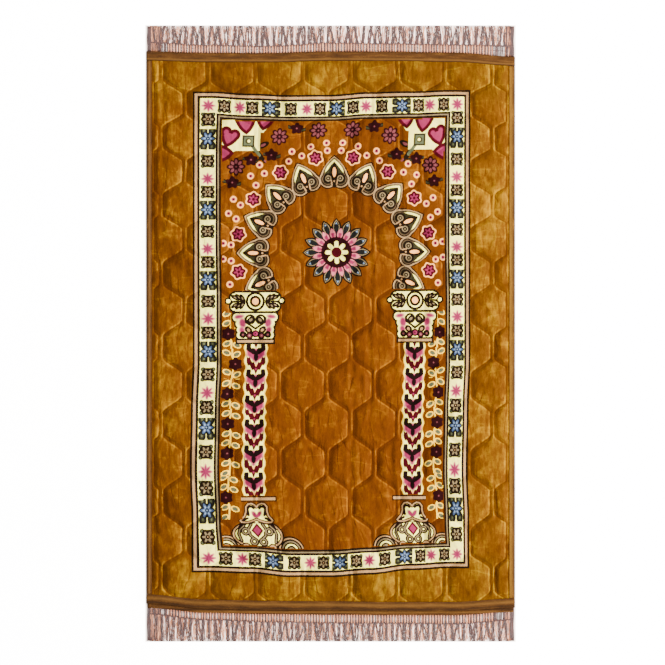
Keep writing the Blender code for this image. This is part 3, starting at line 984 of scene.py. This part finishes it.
def corner_hearts(panel):
    """An ivory corner patch with pink hearts, cut by the frame, and a small sage ornament on a stem."""
    panel.x, panel.y = -panel.x, -panel.y
    near, down = panel.x, panel.y
    block = (near - 83).most(down - 68)
    strip = (near * 0.614 + down * 0.789 - 72.4).most(near - 32)
    top = (near * 0.80 + down * 0.60 - 88.0).most(down - 28)
    panel.lay(panel.stroke((60.0, 48.0), (86.0, 84.0)) - 6.4, BARK)
    for x, y, turn in ((90.0, 56.0, -25), (98.0, 92.0, 35), (72.0, 88.0, -50)):
        panel.leaf(x, y, 12.0, 5.6, turn, (-2.6, MAUVE), (0.8, BARK), fold=False)
    panel.lay(block.least(strip).least(top), IVORY, 1.4)
    for middle, tip, lobe in (((20.5, 31.0), (12.0, 58.0), 9.8), ((50.0, -1.0), (54.0, 30.0), 10.2),
                              ((92.0, -6.0), (88.0, 21.0), 9.4), ((-2.0, 73.0), (26.0, 72.5), 9.0)):
        panel.layers(panel.heart(middle, tip, lobe, 0.94), (2.6, WINE, 1.4), (-4.6, ROSE, 1.8))
    panel.lay(panel.stroke((66.0, 56.0), (82.0, 78.0)) - 3.6, SAGE)
    panel.layers(abs(near - 58.5).most(abs(down - 47.0)), (13.0, BARK, 1.6), (9.6, SAGE, 2.4))
    panel.lay(panel.spot(58.5, 47.0, 6.0), OLIVE, 2.0)
    panel.lay(panel.spot(59.5, 47.0, 3.0), IVORY, 1.6)
    frame_lines(panel, (-near).most(-down) - 25.9)


def capital(panel):
    """A cartouche with a round boss and leaves, on a block of pink scrolls, on a plain bar."""
    x, y = abs(panel.x), panel.y
    lobes = panel.far(x - 43, y - 42).least(panel.far(x - 43, y - 22)) - 8.4
    shell = lobes.least((x - 42).most(abs(y - 32) - 20))
    block = panel.far(x - 38, y + 1.5)
    for lobe_x, lobe_y in ((32, -15), (30, -28), (30, -40)):
        block = block.least(panel.far(x - lobe_x, y - lobe_y))
    block = (block - 8.6).least((x - 32).most(abs(y + 20) - 29)).most(y - 8).most(-y - 48)
    panel.lay(block.least(shell) - 4.0, BARK)
    panel.rings(56, 34, (4.2, IVORY), (8.0, BARK))
    panel.lay(shell, IVORY)
    for leaf in ((42.0, 41.5, 9.0, 4.0, 30), (34.5, 42.0, 9.0, 4.0, 45), (27.0, 39.5, 9.0, 4.0, 60),
                 (42.0, 25.0, 9.0, 4.0, -30), (34.5, 23.5, 9.0, 4.0, -45), (27.0, 25.5, 9.0, 4.0, -60)):
        panel.leaf(*leaf, (-2.6, SAND), (0.6, BARK))
    panel.lay((abs(y - 33) - 2.0).most(abs(x - 34) - 12), BARK)
    boss = panel.far(x, (y - 33) * 0.96)
    panel.lay_bands(boss, 0.0, [(6.8, PEACH), (12.0, BARK), (15.2, IVORY), (20.4, BARK)])
    panel.lay(block, IVORY)
    panel.lay(abs(y - 9.4).most(x - 46) - 2.4, BARK)
    for px, py, half_long, half_wide, turn in ((34.0, 0.0, 10.0, 5.0, -8), (27.0, -14.0, 11.0, 7.4, 80),
                                               (28.0, -29.0, 8.0, 6.4, 75)):
        panel.lay(panel.oval(px, py, half_long, half_wide, turn, True), ROSE_PALE, 3.0)
        panel.lay(panel.oval(px, py, half_long - 2, half_wide - 2, turn, True), ROSE, 3.0)
    panel.lay(abs(panel.far(x - 11.0, y + 6.0) - 9.0).most(-y - 14) - 2.4, BARK)
    panel.leaf(9.5, -7.0, 8.5, 5.2, -45, (-2.6, SAND), (1.2, BARK))
    panel.lay(panel.path(((0.0, -26.0), (20.0, -12.0), (21.0, -3.0)), x, y) - 2.4, BARK)
    panel.leaf(14.5, -29.0, 8.0, 5.8, 50, (-3.0, BEIGE), (1.2, BARK))
    panel.rings(26, -39, (2.4, MAUVE), (7.6, BARK))
    panel.rings(12.5, -41, (1.2, ROSE_PALE), (4.0, MAUVE), (7.8, PLUM))
    panel.rings(0.0, -37, (1.4, PLUM), (4.8, ROSE), (8.0, PLUM))
    panel.lay_bands(abs(y + 53.5).most(x - 35.0), -3.4, [(2.6, BEIGE), (6.4, BARK)])


def column(panel):
    """Black wings, a pink V with a drop in it and a stepped dark red V, again and again down the pillar."""
    x, y = abs(panel.x), panel.y.worked("WRAP", 12.0, -43.7)
    edge = x - ((y - 2.0) * (math.tau / 27.9)).cosine() * 1.8 - 23.6
    panel.layers(edge, (0.0, STRAW, 1.4), (-2.4, IVORY, 2.0))
    pink = (y * -1.0 - 30.0 + x * 0.85).most(y + 1.0).most(x - 19.0)
    panel.layers(pink, (1.6, ROSE_PALE, 2.6), (-1.2, ROSE, 3.4))
    panel.lay(panel.far(x / 1.3, y + 36) - 5.0, PEACH, 2.4)
    teeth = (x * (math.tau / 8.6)).cosine() * 2.4
    for step in (0.0, 55.7):
        level = y - step - x * 1.15 + 44.5
        panel.lay(((abs(level + teeth) - 8.6) * 0.6).most(x - 20.0), WINE, 1.4)
        panel.lay(panel.far(x, y - step + 44) - 2.2, ROSE, 1.6)
    panel.lay(panel.oval(0.0, -18.0, 9.4, 4.8, 90).least(panel.far(x, y + 18) - 4.8), INK, 1.4)
    panel.lay(panel.path(((15.0, 8.0), (15.8, 0.0), (4.4, -7.6), (6.6, -3.0)), x, y) - 5.0, INK, 1.2)


def vine(panel):
    """A plum flower on a straw-coloured stem with sage leaves."""
    panel.lay(panel.path(((-7.0, 54.0), (-6.0, 19.0), (0.0, 0.0), (-7.0, -18.0), (-5.0, -50.0))) - 1.6, STRAW)
    for px, py, turn in ((3.5, 23.0, -30), (-17.0, 17.0, 25), (2.5, -21.0, -25), (-18.0, -25.0, 25),
                         (3.0, 44.0, -30), (-17.0, 38.0, 25), (4.0, -43.0, -30)):
        panel.leaf(px, py, 9.6, 6.2, turn, (-2.2, TAUPE), (0.0, STRAW), fold=False)
        panel.lay(panel.oval(px, py, 5.4, 2.8, turn), SAGE, 2.0)
    panel.flower(6, (1.4, 13.6, PLUM, 1.4), (0.0, 1.6, MAUVE, 2.0))


def base(panel):
    """A plain bar on a lobed bell, on a bowl of scrolls with a pink diamond, between arched scrolls."""
    x, y = abs(panel.x), panel.y
    panel.lay_bands(panel.ellipse(66.0, -58.0, 28.0, 28.0), -26.0, [
        (-20.0, SAND), (-17.0, BARK), (-13.4, IVORY), (-10.4, BARK), (-7.6, SAND), (-4.2, BARK),
        (-1.6, BEIGE), (1.4, BARK),
    ])
    panel.lay_bands(panel.ellipse(0.0, -28.0, 53.0, 31.0), -30.0, [
        (-7.2, IVORY), (-4.8, BARK), (-1.6, BEIGE), (1.4, BARK),
    ])
    panel.lay(panel.oval(33.0, -10.0, 9.0, 4.4, -48, True), INK)
    scrolls = panel.path(((12.0, -6.0), (17.5, -14.0), (16.0, -30.0), (9.0, -36.0)), x, y)
    scrolls = scrolls.least(panel.path(((27.0, -9.0), (36.0, -17.0), (39.0, -27.0), (35.0, -42.0)), x, y))
    for curl_x, curl_y in ((24.5, -21), (9.5, -43)):
        scrolls = scrolls.least(abs(panel.far(x - curl_x, y - curl_y) - 6.0))
    panel.layers(scrolls, (4.0, BARK), (1.1, SAND))
    panel.rings(27.0, -55, (7.0, BEIGE), (9.6, BARK))
    diamond = x * 0.78 + abs(y + 19) * 0.62 - 9.4
    panel.layers(diamond, (2.4, IVORY), (0.6, WINE, 1.4), (-3.0, ROSE, 1.6))
    flare = (x - 14 - ((y - 30) * 0.10).worked("POWER", 2.0) * 1.9).most(y - 30).most(-y + x * 0.1 - 1)
    panel.lay(flare.least(panel.far(x - 13, y - 29) - 9.5), IVORY)
    lobe = panel.path(((6.0, 29.0), (9.0, 32.0), (16.0, 32.5), (18.6, 26.0), (16.6, 14.0)), x, y)
    panel.lay(lobe - 2.8, INK)
    panel.lay(panel.path(((19.0, 7.0), (28.0, 2.6)), x, y) - 2.6, INK)
    panel.lay(panel.oval(4.5, 15.0, 9.0, 4.6, 55, True), ROSE, 2.4)
    bell = panel.path(((0.0, 31.0), (4.0, 36.0), (10.0, 39.0), (17.0, 38.0), (22.0, 32.0), (22.0, 22.0),
                       (25.0, 12.0), (34.0, 2.0), (31.0, -1.5), (19.0, -2.0), (8.0, 1.5), (0.0, 5.0)), x, y)
    panel.layers(bell, (3.7, BARK), (1.4, BEIGE))
    panel.lay_bands(abs(y - 49.0).most(x - 38.0), -3.4, [(3.0, BEIGE), (5.6, BARK)])


def plain(panel):
    """Gold plush without a motif."""


DRAWN = {draw.__name__: draw for draw in (
    plain, frame_star, frame_rosette, frame_bloom, frame_corner, medallion, arch_heart, arch_rosette,
    arch_dot, blossom, daisy, corner_hearts, capital, column, base, vine,
)}


def printed_plush(name):
    panel = Panel("plush_" + name)
    DRAWN[name](panel)
    return panel.finish()


mat = finished("plush_mat", mat_mesh, *(printed_plush(name) for name in PRINTS))
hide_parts("quilted_mat")

# ---------------------------------------------------------------- binding tapes
# Brown knitted tape, folded round the edge of the mat and sewn through. The side tapes were sewn on first,
# and the wider end tapes cross over them. The one at the foot is rolled into a low bead.

TAPE_DARK, TAPE_BROWN, TAPE_LIGHT = dye(46, 28, 8), dye(90, 56, 22), dye(132, 90, 40)
# Painted light: the right side tape's paler brown, as if lit by the key light on the right.
TAPE_PAINTED_LIT = dye(182, 126, 42)
TAPE_THICK = 0.0012
TAPE_LOW, TAPE_HIGH = TAPE_THICK / 2, 0.0070 - TAPE_THICK / 2  # middle of the lower and of the upper layer
TAPE_GAP = 0.0006  # between a side tape's end and the end tape that crosses it
RIB, WALE = 0.0016, 0.0013  # pitch of the knit along the tape and across it
BEND_STEPS, TOP_STEPS, SIDE_STEPS, END_STEPS = 10, 12, 290, 200
SIDE_ROLLS = ((0.006, 0.003, 0.0005), (0.0105, 0.0012, -0.0003))  # distance in, half width and height of each
HEAD_ROLLS = ((0.0160, 0.0022, 0.0006), (0.0188, 0.0008, -0.0004))
FOOT_ROLLS = ((0.0125, 0.0048, 0.0016), (0.0045, 0.0014, -0.0005))
TAPE_RUMPLE, RUMPLE_IN = 0.0003, 0.006


def tape_cloth(name, light_at, light_wide, dark_at, dark_wide, light=TAPE_LIGHT):
    """Knitted tape with a paler strip and a dark groove, both at a distance in from the outer fold."""
    material, tree, shader = new_material(name)
    place = mapped(tree, "tape")
    along, inset = split(tree, place)
    threads = mottled(tree, place, 260.0, 1500.0, 2.0, 0.6)
    worn = mottled(tree, place, 22.0, 160.0, 3.0, 0.6)
    stops = [(0.25, TAPE_DARK), (0.55, TAPE_BROWN), (0.8, light)]
    shade = coloured(tree, threads * 0.45 + worn * 0.55, stops)
    colour = mixed(tree, inset.peak(light_at, light_wide) * 0.6, shade.outputs[0], light)
    colour = mixed(tree, inset.peak(dark_at, dark_wide) * 0.75, colour, TAPE_DARK)
    ribs = (along * (math.tau / RIB)).worked("SINE")
    wales = (inset * (math.tau / WALE)).worked("SINE")
    height = ribs * 0.3 + wales * 0.5 + threads * 1.4
    bump = linked(tree, "ShaderNodeBump", Strength=0.6, Distance=0.0004, Height=height.socket)
    wear(shader, colour, bump.outputs[0], {"Roughness": 0.8, "Specular IOR Level": 0.1})
    return material


def tape_section(width, rolls):
    """The tape across, as inset and height: in under the mat, round the fold and back over the mat."""
    radius = (TAPE_HIGH - TAPE_LOW) / 2
    start = radius + TAPE_THICK / 2
    section = [(width, TAPE_LOW), (width * 0.6, TAPE_LOW)]
    for step in range(BEND_STEPS + 1):
        turn = math.pi * step / BEND_STEPS
        section.append((start - radius * math.sin(turn), TAPE_LOW + radius - radius * math.cos(turn)))
    for step in range(1, TOP_STEPS + 1):
        inset = start + (width - start) * step / TOP_STEPS
        raised = sum(high * math.exp(-(((inset - middle) / wide) ** 2)) for middle, wide, high in rolls)
        section.append((inset, TAPE_HIGH + raised))
    return section


def thicken(cloth, thick):
    """Turns a surface into cloth of this thickness, half of it to each side."""
    layer = cloth.modifiers.new("cloth", "SOLIDIFY")
    layer.thickness = thick
    layer.offset = 0.0


def folded_tape(name, node, width, stations, place, rolls, material, length):
    """A tape folded round an edge, where place(station, inset) is the point of the floor under it."""
    section = tape_section(width, rolls)
    mesh = bmesh.new()
    bmesh.ops.create_grid(mesh, x_segments=len(section) - 1, y_segments=len(stations) - 1, size=1)
    tape_map = mesh.loops.layers.uv.new("tape")
    lengths = {}
    for index, vertex in enumerate(mesh.verts):
        station, step = stations[index // len(section)], index % len(section)
        inset, height = section[step]
        x, y = place(station, inset)
        if height > TAPE_HIGH - 1e-6:
            height += TAPE_RUMPLE * rumple(x, y, 0.012, 2.0) * min(1.0, inset / RUMPLE_IN)
        vertex.co = (x, y, height)
        lengths[vertex] = (station, -inset if step < BEND_STEPS // 2 + 2 else inset)
    for face in mesh.faces:
        for loop in face.loops:
            loop[tape_map].uv = lengths[loop.vert]
    tape = finished(name, mesh, material)
    thicken(tape, TAPE_THICK)
    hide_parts(node)
    return tape


left_cloth = tape_cloth("left_tape_knit", 0.0075, 0.0035, 0.0012, 0.0020)
# The right side tape is a paler copy of the left one's knit: painted light from the key light on the right.
right_lit_cloth = tape_cloth("right_tape_knit_lit", 0.0095, 0.0060, 0.0012, 0.0020, TAPE_PAINTED_LIT)
for name, node, sign, cloth in (("tape_left", "side_tape_left", -1, left_cloth),
                                ("tape_right", "side_tape_right", 1, right_lit_cloth)):
    head = HEAD_EDGE + across_line(HEAD_WANDER, sign * RUG_WIDTH / 2) - END_TAPE - TAPE_GAP
    foot = FOOT_EDGE + across_line(FOOT_WANDER, sign * RUG_WIDTH / 2) - END_TAPE - TAPE_GAP
    stations = [-foot + (head + foot) * step / SIDE_STEPS for step in range(SIDE_STEPS + 1)]
    folded_tape(
        name, node, SIDE_TAPE, stations if sign > 0 else stations[::-1],
        lambda y, inset, sign=sign: (sign * (RUG_WIDTH / 2 - inset), y), SIDE_ROLLS, cloth, head + foot,
    )

across_rug = [RUG_WIDTH * (step / END_STEPS - 0.5) for step in range(END_STEPS + 1)]
folded_tape(
    "tape_head", "end_tape_head", END_TAPE, across_rug[::-1],
    lambda x, inset: (x, HEAD_EDGE - inset + across_line(HEAD_WANDER, x)), HEAD_ROLLS,
    tape_cloth("head_tape_knit", 0.0165, 0.0030, 0.0195, 0.0016), RUG_WIDTH,
)
folded_tape(
    "tape_foot", "end_tape_foot", END_TAPE, across_rug,
    lambda x, inset: (x, inset - FOOT_EDGE - across_line(FOOT_WANDER, x)), FOOT_ROLLS,
    tape_cloth("foot_tape_knit", 0.0125, 0.0050, 0.0040, 0.0030), RUG_WIDTH,
)

# ---------------------------------------------------------------- fringes
# A bought fringe at each end: a warp of short threads, open like a ladder, with a corded line along it, and
# beyond the line loose two-ply yarns, cut straight. Its ends are turned in to dense red-brown selvedges.

YARN_DARK, YARN_RED, YARN_ROSE = dye(40, 12, 7), dye(74, 28, 18), dye(114, 54, 36)
FLUFF_DEEP, FLUFF, FLUFF_PALE = dye(132, 72, 48, 1.0), dye(192, 116, 78, 1.0), dye(244, 174, 120, 1.0)
RUG_LENGTH = 1.337
CUT = RUG_LENGTH / 2 - 0.0006  # where the longest yarns are cut
FRINGE_HALF = RUG_WIDTH / 2 - 0.002
SELVEDGE = 0.013
OPEN_HALF = FRINGE_HALF - SELVEDGE
HEAD_CORD = (19.0, 16.0, 14.0, 17.5, 16.5, 16.5, 22.5)  # mm from the tape to the corded line, left to right
FOOT_CORD = (22.0, 23.0, 24.5, 26.0, 25.5, 27.0, 26.0)
FOOT_WOVEN = 0.0102  # width of the foot fringe's woven strip
CORD_THICK, CORD_TWIST, CORD_HIGH, CORD_SWAY, CORD_STEPS = 0.0017, 0.007, 0.0014, 0.0004, 400
INNER_CORD = 0.0006
SECTION = 0.001  # radius of the round section that every thread is a share of

THREAD, THREAD_PITCH, THREAD_HIGH = 0.0016, 0.0061 / 2, 0.0012
THREAD_LEAN, THREAD_RISE = 0.0008, 0.0004  # how far a thread's middle leans and stands up
UNDER_TAPE, PAST_CORD = 0.0015, 0.0006
END_THREADS, PALE_THREADS = 0.040, 0.045  # how near the rug's sides threads are thinner, and none is pale

YARN_GROUPS, YARN_STEPS, YARN_HIGH = 60, 11, 0.0013
CLUMP, CLUMP_SWAY, YARN_SWAY = 0.0185, 0.006, 0.003  # how far apart tips draw together, and how unevenly
YARN_BESIDE = 0.16  # of the groups' pitch, between two yarns of a group
YARN_APART, YARN_CURL = (-0.0005, 0.0036), 0.0022
YARN_THICK, YARN_OPENS, YARN_SPREAD = (0.00100, 0.00125), (0.35, 0.9), (0.0004, 0.0021)
TURNS = 9.0  # twist of a yarn's two plies over its length

FLUFF_THICK, FLUFF_LEAN, FLUFF_CURL = 0.00050, 0.006, 0.004
SELVEDGE_YARNS = ((-1, 60, 0.024), (1, 26, 0.012))  # side, how many, how wide they lie
SELVEDGE_THICK, STRIP_THICK, STRIPS = 0.00075, 0.00085, 12
YARN_SHORT, FLUFF_SHORT, SELVEDGE_SHORT = 0.0016, 0.006, 0.003  # how much shorter some of each are cut


def yarn_fibre(name, dark, middle, pale):
    """Loose polyester yarn, a little shiny, its colour uneven from strand to strand."""
    material, tree, shader = new_material(name)
    place = linked(tree, "ShaderNodeTexCoord").outputs["Object"]
    strands = mottled(tree, place, 210.0, 26.0, 3.0, 0.65)
    hairs = mottled(tree, place, 2600.0, 300.0, 2.0, 0.6)
    shade = coloured(tree, strands * 0.7 + hairs * 0.3, [(0.30, dark), (0.50, middle), (0.72, pale)])
    bump = linked(tree, "ShaderNodeBump", Strength=0.5, Distance=0.0003, Height=hairs.socket)
    wear(shader, shade.outputs[0], bump.outputs[0], {"Roughness": 0.55, "Sheen Weight": 0.3})
    return material


class Yarns:
    """Many threads drawn as one curve with round sections, then made a mesh."""

    def __init__(self, name, materials):
        self.name, self.materials = name, materials
        self.curve = bpy.data.curves.new(name, "CURVE")
        for material in materials:
            self.curve.materials.append(material)
        self.curve.dimensions = "3D"
        self.curve.bevel_depth = SECTION
        self.curve.bevel_resolution = 1
        self.curve.use_fill_caps = True

    def add(self, points, radius, tip=1.0, fluff=False):
        """A thread through these points, thinning to a share of its radius at the tip."""
        spline = self.curve.splines.new("POLY")
        spline.material_index = 1 if fluff else 0
        spline.points.add(len(points) - 1)
        for index, (target, (x, y, high)) in enumerate(zip(spline.points, points)):
            share = index / (len(points) - 1)
            thick = radius * (1 + (tip - 1) * share)
            target.co = (x, y, max(high, thick), 1.0)
            target.radius = thick / SECTION

    def finish(self, node):
        holder = bpy.data.objects.new(self.name + "_curve", self.curve)
        bpy.context.scene.collection.objects.link(holder)
        bpy.context.view_layer.update()
        data = bpy.data.meshes.new_from_object(holder.evaluated_get(bpy.context.evaluated_depsgraph_get()))
        bpy.data.objects.remove(holder)
        mesh = bmesh.new()
        mesh.from_mesh(data)
        bpy.data.meshes.remove(data)
        bmesh.ops.remove_doubles(mesh, verts=mesh.verts[:], dist=1e-6)
        made = finished(self.name, mesh, *self.materials)
        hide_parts(node)
        return made


def held(x):
    """x, kept between the rug's two sides."""
    return max(-FRINGE_HALF, min(FRINGE_HALF, x))


class Fringe:
    """The fringe of one end, laid out by x across the rug and by the distance out from its middle."""

    def __init__(self, sign, edge, wander, cord, woven, seed, yarns):
        self.sign, self.edge, self.wander, self.cord, self.woven = sign, edge, wander, cord, woven
        self.rng, self.yarns = random.Random(seed), yarns

    def tape_edge(self, x):
        return self.edge + across_line(self.wander, x)

    def cord_line(self, x):
        return self.tape_edge(x) + across_line(self.cord, x)

    def point(self, x, out, high):
        return x, self.sign * out, high

    def ladder(self):
        """The open warp: threads from under the tape to the corded line, dark and pale by turns."""
        for index in range(int(2 * OPEN_HALF / THREAD_PITCH) + 1):
            x = index * THREAD_PITCH - OPEN_HALF
            lean = THREAD_LEAN * self.rng.uniform(-1, 1)
            start, stop = self.tape_edge(x) + self.woven - UNDER_TAPE, self.cord_line(x) + PAST_CORD
            thick = THREAD * (0.8 if abs(x) > FRINGE_HALF - END_THREADS else 1.0)
            thick *= self.rng.uniform(0.8, 1.15)
            pale = bool(index % 2) and abs(x) < FRINGE_HALF - PALE_THREADS
            self.yarns.add([
                self.point(x, start, THREAD_HIGH),
                self.point(x + lean, (start + stop) / 2, THREAD_HIGH + THREAD_RISE),
                self.point(x + lean * 0.5, stop, THREAD_HIGH),
            ], thick, 1.0, pale)

    def twined(self, line, thick, phase=0.0):
        """A line of two plies twisted together, along the whole fringe."""
        for ply in (0, 1):
            points = []
            for step in range(CORD_STEPS + 1):
                x = FRINGE_HALF * (2 * step / CORD_STEPS - 1) * 0.998
                twist = x * math.tau / CORD_TWIST + ply * math.pi + phase
                out = line(x) + CORD_SWAY * math.sin(x * 310) + thick * 0.5 * math.cos(twist)
                points.append(self.point(x, out, CORD_HIGH + thick * 0.5 * math.sin(twist)))
            self.yarns.add(points, thick * 0.75)

    def loose_yarns(self):
        """Yarns in threes, drawn together in clumps, their two plies opening towards the cut ends."""
        rng = self.rng
        waves = [rng.uniform(0, math.tau) for _ in range(3)]
        for index in range(3 * YARN_GROUPS):
            group, beside = index // 3, index % 3 - 1
            root_x = 2 * OPEN_HALF / YARN_GROUPS * (group + 0.5 + YARN_BESIDE * beside) - OPEN_HALF
            place = (root_x + CLUMP_SWAY * math.sin(root_x * 21 + waves[0])) / CLUMP + waves[1]
            lean = (round(place) - place) * CLUMP * 0.72 + YARN_SWAY * math.sin(root_x * 130 + waves[2])
            lean += beside * rng.uniform(*YARN_APART)
            root, tip = self.cord_line(root_x) + 0.0004, CUT - YARN_SHORT * rng.random() ** 3
            curl, opens = rng.uniform(-YARN_CURL, YARN_CURL), rng.uniform(*YARN_OPENS)
            spread, thick = rng.uniform(*YARN_SPREAD), rng.uniform(*YARN_THICK)
            twist_start = rng.uniform(0, math.tau)
            for ply in (0, 1):
                points = []
                for step in range(YARN_STEPS + 1):
                    share = step / YARN_STEPS
                    opened = max(0.0, (share - opens) / (1 - opens + 1e-6))
                    turn = twist_start + share * TURNS * (1 - 0.6 * opened) + ply * math.pi
                    away = thick * 0.8 + spread * opened
                    x = root_x + lean * share**1.4 + curl * math.sin(math.pi * share)
                    x += away * math.cos(turn) if opened == 0 else away * (1 if ply else -1)
                    high = YARN_HIGH + thick * 0.7 * math.sin(turn) * (1 - opened) - 0.0004 * share
                    points.append(self.point(held(x), root + (tip - root) * share, max(thick, high)))
                self.yarns.add(points, thick, 0.7)

    def fluff(self, count):
        """Single fine hairs that have worked loose."""
        rng = self.rng
        for _ in range(count):
            root_x = rng.uniform(-OPEN_HALF, OPEN_HALF)
            root, tip = self.cord_line(root_x), CUT - FLUFF_SHORT * rng.random()
            lean, curl = rng.uniform(-FLUFF_LEAN, FLUFF_LEAN), rng.uniform(-FLUFF_CURL, FLUFF_CURL)
            points = []
            for share in (0.0, 0.25, 0.5, 0.75, 1.0):
                x = root_x + lean * share + curl * math.sin(math.pi * share)
                points.append(self.point(held(x), root + (tip - root) * share, FLUFF_THICK))
            self.yarns.add(points, FLUFF_THICK, 0.8, True)

    def selvedges(self):
        """At each side a bunch of yarns that lies from the tape to the cut, and the turned-in strip on it."""
        rng = self.rng
        for side, count, bunch in SELVEDGE_YARNS:
            for index in range(count):
                root_x = side * (FRINGE_HALF - SELVEDGE * 0.55 - rng.uniform(0, bunch))
                root, lean = self.tape_edge(root_x) + self.woven, rng.uniform(-0.002, 0.002)
                tip = CUT - SELVEDGE_SHORT * rng.random()
                points = []
                for share in (0.0, 0.2, 0.4, 0.6, 0.8, 1.0):
                    high = 0.0009 + 0.0006 * rng.random()
                    points.append(self.point(root_x + lean * share, root + (tip - root) * share, high))
                self.yarns.add(points, SELVEDGE_THICK, 0.9, index % 2 > 0)
            for index in range(STRIPS):
                root_x = side * (FRINGE_HALF - 0.0008 - index * SELVEDGE * 0.7 / STRIPS)
                root, tip = self.tape_edge(root_x) - 0.001, RUG_LENGTH / 2 - 0.002 - 0.001 * rng.random()
                points = []
                for share in (step / 8 for step in range(9)):
                    x = root_x + 0.0005 * math.sin(share * 9 + index)
                    points.append(self.point(x, root + (tip - root) * share, 0.0011 + 0.0005 * rng.random()))
                self.yarns.add(points, STRIP_THICK)


fibres = (yarn_fibre("rose_yarn", YARN_DARK, YARN_RED, YARN_ROSE),
          yarn_fibre("pale_fluff", FLUFF_DEEP, FLUFF, FLUFF_PALE))

head_fringe = Fringe(1, HEAD_EDGE, HEAD_WANDER, HEAD_CORD, 0.0, 7, Yarns("head_fringe", fibres))
head_fringe.ladder()
head_fringe.twined(head_fringe.cord_line, CORD_THICK)
head_fringe.twined(
    lambda x: (head_fringe.tape_edge(x) + head_fringe.cord_line(x)) / 2 + 0.0005, INNER_CORD, 1.0,
)
head_fringe.loose_yarns()
head_fringe.fluff(860)
head_fringe.selvedges()
head_fringe.yarns.finish("fringe_head")

foot_fringe = Fringe(-1, FOOT_EDGE, FOOT_WANDER, FOOT_CORD, FOOT_WOVEN, 11, Yarns("foot_fringe", fibres))
foot_fringe.ladder()
foot_fringe.twined(foot_fringe.cord_line, CORD_THICK)
foot_fringe.loose_yarns()
foot_fringe.fluff(1250)
foot_fringe.selvedges()
foot_fringe.yarns.finish("fringe_foot")

WOVEN_HALF = RUG_WIDTH / 2 - 0.003
woven_mesh = bmesh.new()
bmesh.ops.create_grid(woven_mesh, x_segments=160, y_segments=6, size=1)
woven_map = woven_mesh.loops.layers.uv.new("tape")
for vertex in woven_mesh.verts:
    x, share = vertex.co.x * WOVEN_HALF, (vertex.co.y + 1) / 2
    out = foot_fringe.tape_edge(x) - 0.0006 + share * FOOT_WOVEN
    vertex.co = (x, -out, 0.0018 + 0.0005 * math.sin(math.pi * share) + 0.0002 * rumple(x, out, 0.009, 4.0))
for face in woven_mesh.faces:
    for loop in face.loops:
        loop[woven_map].uv = (loop.vert.co.x, -loop.vert.co.y - FOOT_EDGE)
woven_strip = finished("foot_woven_strip", woven_mesh, tape_cloth("woven_strip", 0.006, 0.003, 0.0, 0.003))
thicken(woven_strip, 0.0012)
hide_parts("fringe_foot")

# ---------------------------------------------------------------- floor, light and camera
# White paper that glows for the camera so that it looks blank, with painted shade under the fringes, where it
# glows less and is warmer; a low key light from the right, and a soft one overhead.

PAPER_HALF, PAPER_DROP = 6.0, 0.0002
BLANK = (0.92, 0.92, 0.91)
PAPER_SHADED_BY_YARN = (0.92, 0.75, 0.67)  # painted shade: the darker, warmer paper seen between the yarns
CUT_EDGE = 0.667  # past this the paper is clear of the yarns

floor_mesh = bmesh.new()
paper_place = Matrix.Translation((0.0, 0.0, -PAPER_DROP))
bmesh.ops.create_grid(floor_mesh, x_segments=1, y_segments=1, size=PAPER_HALF, matrix=paper_place)
floor_data = bpy.data.meshes.new("floor")
floor_mesh.to_mesh(floor_data)
floor_mesh.free()
floor = bpy.data.objects.new("floor", floor_data)
bpy.context.scene.collection.objects.link(floor)
paper, paper_tree, paper_shader = new_material("lit_paper")
paper_shader.inputs["Roughness"].default_value = 0.9
paper_x, paper_y = split(paper_tree, linked(paper_tree, "ShaderNodeTexCoord").outputs["Object"])
# Painted shade under the fringes: inside the yarns' box the paper's glow, seen only by the camera, drops from
# 14 to 2 and its colour turns warmer.
past_rug = (abs(paper_x) - RUG_WIDTH / 2).most(abs(paper_y) - CUT_EDGE).worked("MULTIPLY", 400.0, clamp=True)
seen = Reading(paper_tree, linked(paper_tree, "ShaderNodeLightPath").outputs["Is Camera Ray"])
paper_tree.links.new((seen * (past_rug * 12.0 + 2.0)).socket, paper_shader.inputs["Emission Strength"])
paper_colour = mixed(paper_tree, past_rug, PAPER_SHADED_BY_YARN, BLANK)
for socket in ("Base Color", "Emission Color"):
    paper_tree.links.new(paper_colour, paper_shader.inputs[socket])
floor_data.materials.append(paper)


def lamp(name, place, size, power, colour=(1.0, 1.0, 1.0)):
    """A square lamp that faces the middle of the rug."""
    data = bpy.data.lights.new(name, "AREA")
    data.size = size
    data.energy = power
    data.color = colour
    made = bpy.data.objects.new(name, data)
    made.location = place
    made.rotation_euler = (-Vector(place)).to_track_quat("-Z", "Y").to_euler()
    bpy.context.scene.collection.objects.link(made)


lamp("key", (4.4, -1.3, 2.2), 1.3, 1000, (1.0, 0.98, 0.95))
lamp("overhead", (0.5, 1.5, 2.6), 1.8, 190)

world = bpy.data.worlds.new("studio")
bpy.context.scene.world = world
world.use_nodes = True
world.node_tree.nodes["Background"].inputs["Color"].default_value = (1.0, 1.0, 1.0, 1.0)
world.node_tree.nodes["Background"].inputs["Strength"].default_value = 0.95

PICTURE = 665  # pixels of the photograph each way
PHOTO_SCALE = 0.002168  # metres of rug to a pixel
VIEW_CENTRE = (0.0043, 0.0022)
CAMERA_HEIGHT = 12.0
SENSOR = 36.0
camera_data = bpy.data.cameras.new("camera")
camera_data.sensor_width = SENSOR
camera_data.lens = SENSOR * CAMERA_HEIGHT / (PICTURE * PHOTO_SCALE)
camera = bpy.data.objects.new("camera", camera_data)
camera.location = (*VIEW_CENTRE, CAMERA_HEIGHT)
bpy.context.scene.collection.objects.link(camera)
bpy.context.scene.camera = camera
